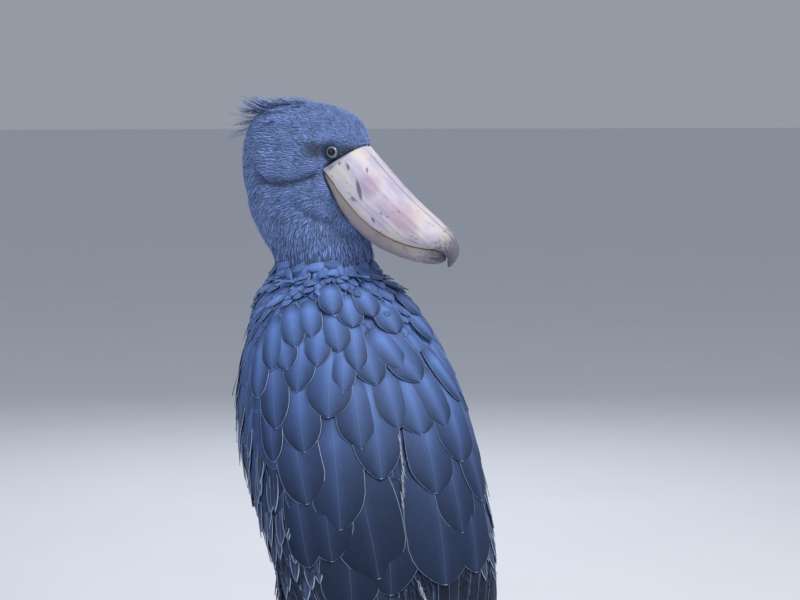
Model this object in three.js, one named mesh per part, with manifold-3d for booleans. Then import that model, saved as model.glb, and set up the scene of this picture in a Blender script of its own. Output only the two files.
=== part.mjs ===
// A life-size shoebill, standing at rest and looking back over its right shoulder.
// Lengths are in millimetres. +Z is up, the body faces -Y and the bird's left is +X.
// Each solid reaches out to the tips of the feathers that it carries.

import * as THREE from "three";
import { mergeVertices } from "three/addons/utils/BufferGeometryUtils.js";
import Module from "manifold-3d";

// Driving dimensions

const GAP = 0.35; // air left between touching pieces
const EYE_HEIGHT = 1079; // from the floor to the line between the eyes
const HEAD_PLACE = [-14, -36]; // where that line's middle stands, in X and Y
const HEAD_TURN = 139; // degrees from +X to the way the bill points
const EYE_RADIUS = 10.8;
const EYE_OUT = 41.5; // from the head's middle plane to an eye's centre
const NECK_RADIUS = 70;
const HIP_OUT = 68;
const FOOT_OUT = 92;
const FOOT_BACK = 16; // how far behind the origin plane the toes meet
const ANKLE_HEIGHT = 252;
const CLAW_LENGTH = 17;
const FLIGHT_LINE = [128, 560]; // where the coverts end, in Y and Z
const FLIGHT_TILT = THREE.MathUtils.degToRad(-24);
const SET_BACK = 36; // from the middle of the bird to the line under its hips, backwards

// Each toe: its name, its length to the claw, and its angle from straight ahead, outwards.
const TOES = [
  { name: "middle", length: 158, angle: 4, radius: 9.5 },
  { name: "inner", length: 112, angle: -34, radius: 8.5 },
  { name: "outer", length: 126, angle: 36, radius: 8.5 },
  { name: "hind", length: 74, angle: 172, radius: 8.5 },
];

const wasm = await Module();
wasm.setup();

// Solids from three.js geometry, and back

function solidOf(geometry) {
  const bare = geometry.clone();
  for (const name of ["normal", "uv"]) bare.deleteAttribute(name);
  const merged = mergeVertices(bare, 1e-3);
  return new wasm.Manifold(
    new wasm.Mesh({
      numProp: 3,
      vertProperties: merged.attributes.position.array,
      triVerts: new Uint32Array(merged.index.array),
    }),
  );
}

function geometryOf(solid) {
  const { numProp, numVert, vertProperties, triVerts } = solid.getMesh();
  const points = new Float32Array(numVert * 3);
  for (let i = 0; i < numVert; i++)
    points.set(vertProperties.subarray(i * numProp, i * numProp + 3), i * 3);
  const geometry = new THREE.BufferGeometry();
  geometry.setAttribute("position", new THREE.BufferAttribute(points, 3));
  geometry.setIndex(new THREE.BufferAttribute(new Uint32Array(triVerts), 1));
  geometry.computeVertexNormals();
  return geometry;
}

// The largest separate lump of a solid, which drops slivers that a cut leaves behind.
function mainLump(solid) {
  const lumps = solid.decompose();
  return lumps.reduce((a, b) => (b.volume() > a.volume() ? b : a));
}

const moved = (solid, matrix) => solidOf(geometryOf(solid).applyMatrix4(matrix));

// A closed skin over rings of points, each ring the same length, with a fan over each end.
function skinOver(rings) {
  const count = rings[0].length;
  const points = rings.flat();
  const ends = [rings[0], rings.at(-1)].map((ring) =>
    ring.reduce((sum, p) => sum.clone().add(p), new THREE.Vector3()).divideScalar(count),
  );
  const index = [];
  const first = points.length;
  for (let j = 0; j < count; j++) {
    const k = (j + 1) % count;
    for (let i = 0; i < rings.length - 1; i++) {
      const [a, b] = [i * count + j, i * count + k];
      index.push(a, b, b + count, a, b + count, a + count);
    }
    const last = (rings.length - 1) * count;
    index.push(first, k, j, first + 1, last + j, last + k);
  }
  const geometry = new THREE.BufferGeometry().setFromPoints([...points, ...ends]);
  geometry.setIndex(index);
  return geometry;
}

const vectors = (list) => list.map((p) => new THREE.Vector3(...p));
const smoothCurve = (list) => new THREE.CatmullRomCurve3(vectors(list), false, "centripetal");
const power = (value, exponent) => Math.sign(value) * Math.abs(value) ** exponent;

// A limb or trunk: rings about a path of stations, each [x, y, z, side, above, below].
// across is the direction that side is measured in. fullness under 1 makes a squarer ring.
function limb(stations, { around, along, across = [-1, 0, 0], fullness = 1, grow = 0, floor }) {
  const path = smoothCurve(stations.map((s) => s.slice(0, 3)));
  const sizes = new THREE.CatmullRomCurve3(vectors(stations.map((s) => s.slice(3, 6))));
  const rings = [];
  for (let i = 0; i <= along; i++) {
    const t = i / along;
    const centre = path.getPoint(t);
    const way = path.getTangent(t);
    const size = sizes.getPoint(t);
    const side = new THREE.Vector3(...across).projectOnPlane(way).normalize();
    const above = new THREE.Vector3().crossVectors(way, side).normalize();
    if (i === 0) centre.addScaledVector(way, -grow);
    if (i === along) centre.addScaledVector(way, grow);
    rings.push(
      Array.from({ length: around }, (_, j) => {
        const angle = (2 * Math.PI * j) / around;
        const [c, s] = [power(Math.cos(angle), fullness), power(Math.sin(angle), fullness)];
        const point = centre
          .clone()
          .addScaledVector(side, c * (size.x + grow))
          .addScaledVector(above, s * ((s > 0 ? size.y : size.z) + grow));
        if (floor !== undefined) point.z = Math.max(point.z, floor);
        return point;
      }),
    );
  }
  return skinOver(rings);
}

// Head and bill, in the head's own frame: +X ahead, +Y to its left, origin between the eyes

const headFrame = new THREE.Matrix4()
  .makeRotationZ(THREE.MathUtils.degToRad(HEAD_TURN))
  .setPosition(...HEAD_PLACE, EYE_HEIGHT);

// The skull with its feathers: stations from the nape to the forehead.
// Each is [distance ahead, crown height, jaw height, half width].
const SKULL = [
  [-140, -6, -34, 16],
  [-135, 26, -66, 38],
  [-122, 48, -86, 50],
  [-102, 62, -96, 58],
  [-79, 69, -99, 62],
  [-56, 70, -100, 63],
  [-33, 66.5, -98, 62],
  [-10, 59, -95, 59],
  [12, 45, -86, 54],
  [22, 35, -78, 50],
  [30, 24, -66, 46],
  [36, 11, -51, 38],
  [39, -6, -34, 26],
];

function skull(grow = 0) {
  const stations = SKULL.map(([x, top, bottom, half]) => {
    const middle = (top + bottom) / 2;
    return [x, 0, middle, half, top - middle, middle - bottom];
  });
  return limb(stations, {
    around: 18,
    along: 13,
    across: [0, 1, 0],
    fullness: 0.92,
    grow,
  });
}

// The bill: its ridge, its biting edge, and its half width there, from the face to the hook.
const RIDGE = [
  [32, 8],
  [49, -11],
  [66, -30],
  [89, -54.5],
  [116, -79],
  [140, -99.5],
  [152, -115],
  [156, -130],
  [152, -142],
  [143, -151],
];
const BITE = [
  [-15, -23],
  [-5, -32],
  [6, -47],
  [25, -69],
  [46, -90],
  [67, -105],
  [91, -116.5],
  [114, -123],
  [133, -126],
  [142, -134],
  [141, -148],
];
const BITE_HALF = [49, 51, 52.5, 54, 53.5, 50, 43.5, 34, 20, 10, 2];
const KEEL = [
  [-17, -34],
  [-9, -53],
  [0, -70],
  [13, -92],
  [35, -113],
  [57, -128],
  [86, -139],
  [112, -145.5],
  [130, -146],
  [139, -141],
];
// The lower half's edge, at the same places along the bill as its keel
const KEEL_BITE = [-15, -8, 1, 14, 36, 58, 87, 112, 129, 137];
const KEEL_HALF = [46, 47, 48, 49, 48.5, 46, 39.5, 29, 16, 5];

const profile = (points) => smoothCurve(points.map(([x, z]) => [x, 0, z]));
const widths = (list) => new THREE.CatmullRomCurve3(list.map((w, i) => new THREE.Vector3(i, w, 0)));

// One half of the bill as rings from its ridge or keel to the flat where the halves meet.
// low is how far that flat stands off the biting edge, and hand is 1 below and -1 above.
function billHalf(spine, edge, half, { along, low, grow, hand }) {
  const [spineAt, edgeAt, halfAt] = [profile(spine), profile(edge), widths(half)];
  const steps = 6;
  const rings = [];
  for (let i = 0; i <= along; i++) {
    const t = i / along;
    const bottom = edgeAt.getPoint(t);
    const rise = spineAt.getPoint(t).sub(bottom);
    const reach = rise.length() + grow;
    const up = rise.clone().normalize();
    const back = i === 0 ? -grow : i === along ? grow : 0;
    bottom.addScaledVector(edgeAt.getTangent(t), back);
    const wide = Math.max(halfAt.getPoint(t).y, 0.5) + grow;
    const ring = [];
    for (let j = -steps; j <= steps; j++) {
      const angle = (j / steps) * (Math.PI / 2);
      const point = bottom.clone().addScaledVector(up, low + (reach - low) * Math.cos(angle) ** 0.86);
      point.y = hand * wide * power(Math.sin(angle), 0.8);
      ring.push(point);
    }
    // The flat between the halves, as two inner points that keep the ring closed and simple.
    for (const share of [0.4, -0.4]) {
      const inner = bottom.clone().addScaledVector(up, low);
      inner.y = hand * wide * share;
      ring.push(inner);
    }
    rings.push(ring);
  }
  return skinOver(rings);
}

const keelEdge = KEEL_BITE.map((x) => {
  const at = BITE.findIndex(([bx]) => bx >= x);
  const [[x0, z0], [x1, z1]] = [BITE[Math.max(at - 1, 0)], BITE[Math.max(at, 1)]];
  return [x, z0 + ((z1 - z0) * (x - x0)) / (x1 - x0)];
});

const upperBill = (grow = 0) =>
  billHalf(RIDGE, BITE, BITE_HALF, { along: 14, low: 0.5 - grow, grow, hand: -1 });
const lowerBill = (grow = 0) =>
  billHalf(KEEL, keelEdge, KEEL_HALF, { along: 11, low: 0.5 - grow, grow, hand: 1 });

// The soft throat between the branches of the lower bill
const throat = (grow = 0) =>
  limb(
    [
      [-62, 0, -66, 34, 30, 22],
      [-34, 0, -74, 44, 30, 26],
      [-8, 0, -84, 42, 26, 22],
      [16, 0, -94, 34, 18, 16],
      [38, 0, -104, 18, 8, 8],
    ],
    { around: 14, along: 6, across: [0, 1, 0], grow },
  );

// The shaggy tuft on the nape
const crest = limb(
  [
    [-70, 0, 50, 28, 16, 22],
    [-98, 0, 54, 24, 13, 22],
    [-124, 0, 64, 15, 9, 16],
    [-146, 0, 74, 3, 3, 4],
  ],
  { around: 12, along: 6, across: [0, 1, 0] },
);

// Neck, trunk, wings and tail, in the bird's own frame

// The neck stands on the shoulders, drawn in, and leans to the left under the turned head.
const NECK = [
  [52, -92, 1068, 44, 44, 44],
  [45, -87, 1035, 66, 66, 66],
  [31, -78, 1000, NECK_RADIUS - 2, NECK_RADIUS - 2, NECK_RADIUS - 2],
  [15, -69, 967, NECK_RADIUS - 2, NECK_RADIUS - 2, NECK_RADIUS - 2],
  [6, -64, 938, NECK_RADIUS + 1, NECK_RADIUS + 1, NECK_RADIUS + 1],
  [0, -60, 905, NECK_RADIUS, NECK_RADIUS, NECK_RADIUS],
];
const neck = limb(NECK, { around: 18, along: 8 });

// The trunk with its down and body feathers: [back, height, half width, behind, ahead].
const TRUNK = [
  [-70, 948, 44, 40, 48],
  [-74, 930, 64, 52, 72],
  [-72, 905, 82, 60, 94],
  [-60, 872, 99, 66, 114],
  [-40, 830, 115, 68, 132],
  [-14, 780, 126, 66, 144],
  [18, 722, 130, 62, 147],
  [52, 660, 126, 56, 136],
  [88, 596, 111, 46, 112],
  [122, 535, 84, 32, 80],
  [150, 478, 50, 20, 46],
  [168, 440, 14, 8, 12],
];

// The folded wings, as one mantle of feathers from the shoulders to their tips. The shoulders
// follow the turned head a little, so each station starts with its offset to the left.
const MANTLE = [
  [17, -86, 921, 58, 50, 46],
  [16, -82, 898, 83, 78, 76],
  [11, -66, 866, 110, 97, 103],
  [5, -39, 828, 135, 104, 115],
  [0, -8, 782, 151, 108, 120],
  [0, 28, 728, 160, 112, 116],
  [0, 68, 668, 160, 112, 100],
  [0, 108, 608, 154, 102, 74],
  [0, 142, 553, 148, 84, 50],
  [0, 170, 500, 138, 64, 34],
  [0, 198, 436, 118, 42, 24],
  [0, 222, 378, 84, 24, 16],
  [0, 238, 340, 40, 10, 8],
];

const inPlane = (list) => list.map(([y, z, side, behind, ahead]) => [0, y, z, side, behind, ahead]);
const trunkSkin = (grow = 0) => limb(inPlane(TRUNK), { around: 22, along: 12, grow });
const mantleSkin = (grow = 0) => limb(MANTLE, { around: 26, along: 14, fullness: 0.9, grow });

// The tail, a flat fan under the wing tips
const TAIL = [
  [136, 472, 44, 14, 16],
  [160, 430, 52, 12, 12],
  [184, 386, 58, 8, 8],
  [206, 344, 60, 5, 5],
  [220, 316, 54, 3, 3],
];
const tailSkin = (grow = 0) => limb(inPlane(TAIL), { around: 16, along: 8, fullness: 0.7, grow });

// Legs, for the side of the bird that side names: 1 is left and -1 is right

const thigh = (side) =>
  limb(
    [
      [side * (HIP_OUT - 2), 12, 590, 36, 50, 58],
      [side * (HIP_OUT - 1), 16, 520, 38, 53, 56],
      [side * (HIP_OUT + 3), 22, 450, 34, 44, 44],
      [side * (HIP_OUT + 9), 33, 380, 26, 30, 30],
      [side * (HIP_OUT + 15), 44, 326, 18, 19, 19],
      [side * (HIP_OUT + 16), 49, 306, 12, 12, 12],
    ],
    { around: 12, along: 7 },
  );

// The bare shin comes out of the feathers, bends at the ankle and ends over the foot.
const shank = (side, grow = 0) =>
  limb(
    [
      [side * (HIP_OUT + 17), 52, 305 - GAP, 8, 9, 9],
      [side * (HIP_OUT + 18), 58, 282, 8.5, 10, 10],
      [side * (HIP_OUT + 19), 64, ANKLE_HEIGHT, 12.5, 15, 14],
      [side * (HIP_OUT + 20), 58, 214, 8.5, 11, 10],
      [side * (FOOT_OUT - 3), 41, 128, 8, 9.5, 9],
      [side * (FOOT_OUT - 1), 27, 58, 8.5, 10, 9.5],
      [side * FOOT_OUT, FOOT_BACK + 4, 24, 12, 13, 13],
      [side * FOOT_OUT, FOOT_BACK, 5, 11, 12, 12],
    ],
    { around: 10, along: 14, grow },
  );

// Toes and claws lie along +X of their own frame, with flat soles at height 0.
function toe({ length, radius }, grow = 0) {
  const joints = length > 100 ? 4 : 2;
  const steps = joints * 2;
  const stations = [];
  for (let i = 0; i <= steps; i++) {
    const t = i / steps;
    const pad = 0.5 - 0.5 * Math.cos(2 * Math.PI * joints * t);
    const size = radius * (1 - 0.38 * t) * (0.84 + 0.16 * pad);
    const width = i === steps ? size * 0.6 : size;
    stations.push([t * length, 0, size * 0.66, width, size, size]);
  }
  return limb(stations, { around: 8, along: steps, across: [0, 1, 0], grow, floor: 0 });
}

function claw({ length, radius }, grow = 0) {
  const size = radius * 0.46;
  return limb(
    [
      [length - 5, 0, 5.6, size * 0.8, size, size],
      [length + CLAW_LENGTH * 0.45, 0, 6, size * 0.62, size * 0.75, size * 0.75],
      [length + CLAW_LENGTH * 0.85, 0, 3.6, size * 0.3, size * 0.42, size * 0.42],
      [length + CLAW_LENGTH, 0, 1.7, 0.5, 0.6, 0.6],
    ],
    { around: 6, along: 4, across: [0, 1, 0], grow, floor: 0.6 - grow },
  );
}

// From a toe's frame to the bird's: the toes point forward, which is -Y
const toeFrame = ({ angle }, side) =>
  new THREE.Matrix4()
    .makeRotationZ(THREE.MathUtils.degToRad(angle * side - 90))
    .setPosition(side * FOOT_OUT, FOOT_BACK, 0);

// Materials

const finish = (color, roughness, metalness = 0) =>
  new THREE.MeshStandardMaterial({ color, roughness, metalness });
const plumage = finish(0x5f78a8, 0.75);
const softPlumage = finish(0x6c86b4, 0.85);
const flightPlumage = finish(0x37465f, 0.65);
const horn = finish(0xd2c7c4, 0.4);
const iris = finish(0x8f9fae, 0.12);
const legSkin = finish(0x35383f, 0.6);
const clawHorn = finish(0x24242a, 0.4);

// Assembly

const bird = new THREE.Group();
bird.position.y = -SET_BACK;

function add(parent, name, shape, material) {
  const geometry = shape.isBufferGeometry ? shape : geometryOf(mainLump(shape));
  const mesh = new THREE.Mesh(geometry, material);
  mesh.name = name;
  parent.add(mesh);
  return mesh;
}

const without = (solid, others) => others.reduce((left, other) => left.subtract(other), solid);
const SIDES = [
  ["left", 1],
  ["right", -1],
];

// The head is built in its own frame and turned as a group.
const head = new THREE.Group();
head.rotation.z = THREE.MathUtils.degToRad(HEAD_TURN);
head.position.set(...HEAD_PLACE, EYE_HEIGHT);
bird.add(head);

const bills = [upperBill(GAP), lowerBill(GAP)].map(solidOf);
// Everything ahead of the bill's root, which leans from the gape up to the ridge
const [gapeX, gapeZ] = BITE[0];
const rootLean = Math.atan2(RIDGE[0][1] - gapeZ, RIDGE[0][0] - gapeX);
const beforeFace = solidOf(
  new THREE.BoxGeometry(200, 200, 200)
    .translate(100, 0, -100 + GAP)
    .rotateY(-rootLean)
    .translate(gapeX, 0, gapeZ),
);
const skullSolid = solidOf(skull()).subtract(beforeFace).add(solidOf(throat()));
const sockets = [];
for (const [name, side] of SIDES) {
  const eye = new THREE.SphereGeometry(EYE_RADIUS, 14, 8).rotateX(Math.PI / 2);
  add(head, `eye_${name}`, eye, iris).position.set(0, side * EYE_OUT, 0);
  const socket = new THREE.SphereGeometry(EYE_RADIUS + GAP + 0.3, 12, 8).rotateX(Math.PI / 2);
  sockets.push(solidOf(socket.translate(0, side * EYE_OUT, 0)));
}
add(head, "head", without(skullSolid, [...bills, ...sockets]), softPlumage);
add(head, "bill_upper", solidOf(upperBill()), horn);
add(head, "bill_lower", without(solidOf(lowerBill()), [bills[0]]), horn);
add(head, "crest", without(solidOf(crest), [solidOf(skull(GAP))]), softPlumage);

// The neck fits up under the head and down onto the shoulders.
const headAbove = [skull(GAP), throat(GAP), upperBill(GAP), lowerBill(GAP)];
const trunkRoom = solidOf(trunkSkin(GAP));
const mantleRoom = solidOf(mantleSkin(GAP));
const neckRoom = [...headAbove.map((g) => moved(solidOf(g), headFrame)), trunkRoom, mantleRoom];
add(bird, "neck", without(solidOf(neck), neckRoom), softPlumage);
add(bird, "trunk", solidOf(trunkSkin()), plumage);
add(bird, "tail", without(solidOf(tailSkin()), [trunkRoom]), flightPlumage);

// The mantle parts down the back, and each wing's flight feathers part from its coverts.
const wings = without(solidOf(mantleSkin()), [trunkRoom, solidOf(tailSkin(GAP))]);
for (const [name, side] of SIDES) {
  const half = new THREE.BoxGeometry(300, 900, 900).translate(side * (150 + GAP / 2), 50, 640);
  const wing = wings.intersect(solidOf(half));
  const parting = (lift) =>
    solidOf(
      new THREE.BoxGeometry(500, 900, 600)
        .translate(0, 0, lift)
        .rotateX(FLIGHT_TILT)
        .translate(0, FLIGHT_LINE[0], FLIGHT_LINE[1]),
    );
  add(bird, `wing_${name}`, wing.intersect(parting(300 + GAP)), plumage);
  add(bird, `flight_feathers_${name}`, wing.intersect(parting(-300)), flightPlumage);
}

for (const [name, side] of SIDES) {
  const shankRoom = solidOf(shank(side, GAP));
  const thighSolid = without(solidOf(thigh(side)), [trunkRoom, mantleRoom, shankRoom]);
  add(bird, `thigh_${name}`, thighSolid, softPlumage);
  add(bird, `shank_${name}`, solidOf(shank(side)), legSkin);
  const taken = [shankRoom];
  for (const size of TOES) {
    const place = (shape) => moved(solidOf(shape), toeFrame(size, side));
    const toeSolid = without(place(toe(size)), [...taken, place(claw(size, GAP))]);
    add(bird, `toe_${name}_${size.name}`, toeSolid, legSkin);
    add(bird, `claw_${name}_${size.name}`, place(claw(size)), clawHorn);
    taken.push(place(toe(size, GAP)));
  }
}

export default bird;
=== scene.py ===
import itertools
import math

import bpy
import numpy as np
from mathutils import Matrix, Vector
from mathutils.bvhtree import BVHTree


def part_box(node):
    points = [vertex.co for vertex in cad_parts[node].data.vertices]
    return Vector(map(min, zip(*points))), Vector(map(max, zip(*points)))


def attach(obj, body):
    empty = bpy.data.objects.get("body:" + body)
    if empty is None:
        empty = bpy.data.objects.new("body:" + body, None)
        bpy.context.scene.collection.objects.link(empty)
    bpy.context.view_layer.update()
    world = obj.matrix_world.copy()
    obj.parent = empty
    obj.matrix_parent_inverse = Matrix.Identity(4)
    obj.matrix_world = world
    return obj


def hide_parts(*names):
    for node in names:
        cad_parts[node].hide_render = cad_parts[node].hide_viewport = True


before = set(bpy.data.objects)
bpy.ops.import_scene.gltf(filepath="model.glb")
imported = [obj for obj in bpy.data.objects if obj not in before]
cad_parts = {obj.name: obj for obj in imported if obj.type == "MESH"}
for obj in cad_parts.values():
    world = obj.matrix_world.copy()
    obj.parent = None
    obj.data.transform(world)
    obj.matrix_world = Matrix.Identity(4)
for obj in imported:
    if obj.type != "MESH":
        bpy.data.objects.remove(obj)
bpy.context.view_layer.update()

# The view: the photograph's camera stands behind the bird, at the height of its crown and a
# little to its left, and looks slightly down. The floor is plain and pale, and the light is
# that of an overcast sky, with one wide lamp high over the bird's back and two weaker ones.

CAMERA_AZIMUTH = 158.0
CAMERA_DISTANCE = 2.2
CAMERA_HEIGHT = 1.12
FOCAL_PIXELS = 1694.0
IMAGE_SIZE = (800, 600)
HORIZON_ROW = 120
AXIS_COLUMN = 345  # where the bird's upright axis stands in the picture
SET_BACK = 0.036  # from the middle of the bird's box to that axis, forwards

heading = math.radians(CAMERA_AZIMUTH)
camera_pitch = math.atan((IMAGE_SIZE[1] / 2 - HORIZON_ROW) / FOCAL_PIXELS)
camera_yaw = math.atan((IMAGE_SIZE[0] / 2 - AXIS_COLUMN) / FOCAL_PIXELS)
camera_place = Vector((math.sin(heading) * CAMERA_DISTANCE,
                       -math.cos(heading) * CAMERA_DISTANCE - SET_BACK,
                       CAMERA_HEIGHT))
bpy.ops.object.camera_add(location=camera_place,
                          rotation=(math.pi / 2 - camera_pitch, 0, heading - camera_yaw))
camera = bpy.context.object
camera.data.sensor_width = 36
camera.data.lens = FOCAL_PIXELS / IMAGE_SIZE[0] * camera.data.sensor_width
camera.data.clip_end = 500
bpy.context.scene.camera = camera
bpy.context.scene.view_settings.view_transform = "Standard"


class Socket:
    """A node's output that can stand in a Python expression."""

    def __init__(self, material, socket):
        self.material = material
        self.socket = socket

    def maths(self, operation, *values):
        return self.material.node("ShaderNodeMath", {"operation": operation}, values)

    def __add__(self, other):
        return self.maths("ADD", self, other)

    def __sub__(self, other):
        return self.maths("SUBTRACT", self, other)

    def __rsub__(self, other):
        return self.maths("SUBTRACT", other, self)

    def __mul__(self, other):
        return self.maths("MULTIPLY", self, other)

    def __pow__(self, other):
        return self.maths("POWER", self, other)

    __radd__ = __add__
    __rmul__ = __mul__


class Finish:
    """A material whose nodes are added one at a time."""

    def __init__(self, name, **fixed):
        self.data = bpy.data.materials.new(name)
        self.data.use_nodes = True
        self.tree = self.data.node_tree
        self.shader = self.tree.nodes["Principled BSDF"]
        for socket, value in fixed.items():
            self.shader.inputs[socket.replace("_", " ")].default_value = value

    def node(self, kind, settings=None, values=(), out=0):
        made = self.tree.nodes.new(kind)
        for key, value in (settings or {}).items():
            setattr(made, key, value)
        pairs = values.items() if isinstance(values, dict) else enumerate(values)
        for key, value in pairs:
            if isinstance(value, Socket):
                self.tree.links.new(value.socket, made.inputs[key])
            else:
                made.inputs[key].default_value = value
        return Socket(self, made.outputs[out])

    def attribute(self, name):
        return self.node("ShaderNodeAttribute", {"attribute_name": name}, out="Fac")

    def part(self, vector, axis):
        return self.node("ShaderNodeSeparateXYZ", None, {"Vector": vector}, out=axis)

    def position(self):
        return self.node("ShaderNodeTexCoord", out="Object")

    def noise(self, place, scale, detail=3.0, roughness=0.5):
        return self.node("ShaderNodeTexNoise", None,
                         {"Vector": place, "Scale": scale, "Detail": detail, "Roughness": roughness})

    def stretch(self, place, scale, turn=(0, 0, 0), shift=(0, 0, 0)):
        return self.node("ShaderNodeMapping", None,
                         {"Vector": place, "Scale": scale, "Rotation": turn, "Location": shift})

    def ramp(self, value, low, high, smooth=True):
        kind = "SMOOTHSTEP" if smooth else "LINEAR"
        return self.node("ShaderNodeMapRange", {"interpolation_type": kind},
                         {"Value": value, "From Min": low, "From Max": high})

    def mix(self, share, first, second):
        colours = [(*c, 1) if isinstance(c, tuple) else c for c in (first, second)]
        return self.node("ShaderNodeMix", {"data_type": "RGBA"},
                         {0: share, 6: colours[0], 7: colours[1]}, out=2)

    def bump(self, height, strength, distance):
        return self.node("ShaderNodeBump", None,
                         {"Height": height, "Strength": strength, "Distance": distance})

    def feed(self, **sockets):
        for name, value in sockets.items():
            self.tree.links.new(value.socket, self.shader.inputs[name.replace("_", " ")])
        return self.data


LAMPS = [
    # name, place, size, watts, colour
    ("key", (-1.0, 1.5, 3.4), 1.6, 92, (1.0, 0.98, 0.96)),
    ("fill", (3.0, 1.6, 1.8), 2.5, 34, (0.86, 0.92, 1.0)),
    ("front", (-1.2, -3.0, 2.6), 2.6, 45, (0.95, 0.97, 1.0)),
]
LAMP_AIM = Vector((0, 0, 0.75))

bpy.ops.mesh.primitive_plane_add(size=400, location=(0, 0, 0))
floor = bpy.context.object
floor.name = "floor"
floor_finish = Finish("pale floor", Roughness=0.9)
grain = floor_finish.noise(floor_finish.position(), 3.0)
floor_finish.feed(Base_Color=floor_finish.mix(grain, (0.76, 0.78, 0.82), (0.80, 0.82, 0.86)))
floor.data.materials.append(floor_finish.data)

world = bpy.data.worlds.new("overcast")
world.use_nodes = True
sky = world.node_tree.nodes["Background"]
sky.inputs["Color"].default_value = (0.72, 0.78, 0.90, 1)
sky.inputs["Strength"].default_value = 0.42
bpy.context.scene.world = world

for name, place, size, power, colour in LAMPS:
    bpy.ops.object.light_add(type="AREA", location=place)
    lamp = bpy.context.object
    lamp.name = name
    lamp.data.size = size
    lamp.data.energy = power
    lamp.data.color = colour
    aim = LAMP_AIM - Vector(place)
    lamp.rotation_euler = aim.to_track_quat("-Z", "Y").to_euler()

# The skin: one closed surface under all the feathers, from the head to the feathered shins.
# It is made from copies of the solids of flesh, melted into one, smoothed, and drawn in by
# the depth of the coat; the eye sockets, brows and cheeks are then worked into it.

FLESH = ["head", "neck", "trunk", "wing_left", "wing_right", "thigh_left", "thigh_right"]
FLIGHT = ["flight_feathers_left", "flight_feathers_right"]
SKIN_VOXEL = 0.0045
FORM_VOXEL = 0.006

HEAD_TURN = math.radians(139)
HEAD_ORIGIN = np.array([-0.014, -0.036 - SET_BACK, 1.079])  # the middle between the eyes
HEAD_AXES = np.array([[math.cos(HEAD_TURN), math.sin(HEAD_TURN), 0],
                      [-math.sin(HEAD_TURN), math.cos(HEAD_TURN), 0],
                      [0, 0, 1.0]])
EYE_OUT = 0.0415
EYE_RADIUS = 0.0108
LID_REACH = 0.034  # how far the finer mesh goes round each eye
LID_CUTS = 3


def to_head(points):
    """Rows of places, as places ahead, left and above the middle of the eyes."""
    return (np.asarray(points) - HEAD_ORIGIN) @ HEAD_AXES.T


def from_head(points):
    """The other way about."""
    return np.asarray(points) @ HEAD_AXES + HEAD_ORIGIN


def places(obj):
    flat = np.empty(len(obj.data.vertices) * 3)
    obj.data.vertices.foreach_get("co", flat)
    return flat.reshape(-1, 3)


def normals(obj):
    flat = np.empty(len(obj.data.vertices) * 3)
    obj.data.vertices.foreach_get("normal", flat)
    return flat.reshape(-1, 3)


def move(obj, points):
    obj.data.vertices.foreach_set("co", np.ascontiguousarray(points).ravel())
    obj.data.update()


def only(obj):
    """Selects one object alone, and makes it the active one."""
    bpy.ops.object.select_all(action="DESELECT")
    obj.select_set(True)
    bpy.context.view_layer.objects.active = obj


def modify(obj, kind, **settings):
    only(obj)
    modifier = obj.modifiers.new(kind.lower(), kind)
    for key, value in settings.items():
        setattr(modifier, key, value)
    bpy.ops.object.modifier_apply(modifier=modifier.name)


def melted(name, nodes, voxel, swell=0.0006):
    """One object from copies of solids, merged where they meet and given an even mesh."""
    copies = []
    for node in nodes:
        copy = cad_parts[node].copy()
        copy.data = copy.data.copy()
        copy.parent = None
        for key in list(copy.keys()):
            del copy[key]
        bpy.context.scene.collection.objects.link(copy)
        copies.append(copy)
        only(copy)
        bpy.ops.object.mode_set(mode="EDIT")
        bpy.ops.mesh.select_all(action="SELECT")
        bpy.ops.mesh.remove_doubles(threshold=1e-6)
        bpy.ops.object.mode_set(mode="OBJECT")
        move(copy, places(copy) + normals(copy) * swell)
    bpy.ops.object.select_all(action="DESELECT")
    for copy in copies:
        copy.select_set(True)
    bpy.context.view_layer.objects.active = copies[0]
    bpy.ops.object.join()
    whole = bpy.context.object
    whole.name = name
    whole.data.materials.clear()
    modify(whole, "REMESH", mode="VOXEL", voxel_size=voxel)
    return whole


def smoothstep(value, low, high):
    """0 up to the low value, 1 from the high one, and a smooth rise between."""
    t = np.clip((value - low) / (high - low), 0, 1)
    return t * t * (3 - 2 * t)


def coat_depth(points):
    """How far the feathers stand off the skin: most on the body, least by the bill and shins."""
    height = points[:, 2]
    ahead = to_head(points)[:, 0]
    neck = smoothstep(height, 0.90, 0.97)
    face = smoothstep(ahead, -0.09, 0.0) * smoothstep(height, 0.95, 1.02)
    bill_root = smoothstep(ahead, 0.0, 0.02)
    shins = 1 - smoothstep(height, 0.30, 0.45)
    return 0.011 - 0.005 * neck - 0.0028 * face - 0.0020 * bill_root - 0.008 * shins


def tree_of(obj):
    graph = bpy.context.evaluated_depsgraph_get()
    return BVHTree.FromObject(obj, graph)


def drawn_in(obj, rounds):
    """Smooths a melted shape and sinks it by the depth of the coat."""
    modify(obj, "SMOOTH", factor=0.5, iterations=rounds)
    points = places(obj)
    move(obj, points - normals(obj) * coat_depth(points)[:, None])
    modify(obj, "SMOOTH", factor=0.5, iterations=4)


skin = melted("skin", FLESH, SKIN_VOXEL)
drawn_in(skin, 14)

# The form is the same with the flight feathers, for the outer feathers to lie on. It is only
# a guide, and is removed at the end.
form = melted("form", FLESH + FLIGHT, FORM_VOXEL)
drawn_in(form, 10)


def eye_gap(ahead):
    """How far out from the middle of the eye, on the side of the head; the brow cuts it above."""
    above = np.where(ahead[:, 2] > 0, ahead[:, 2] / 0.80, ahead[:, 2] / 0.96)
    return np.hypot(ahead[:, 0] + 0.0005, above)


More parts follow.
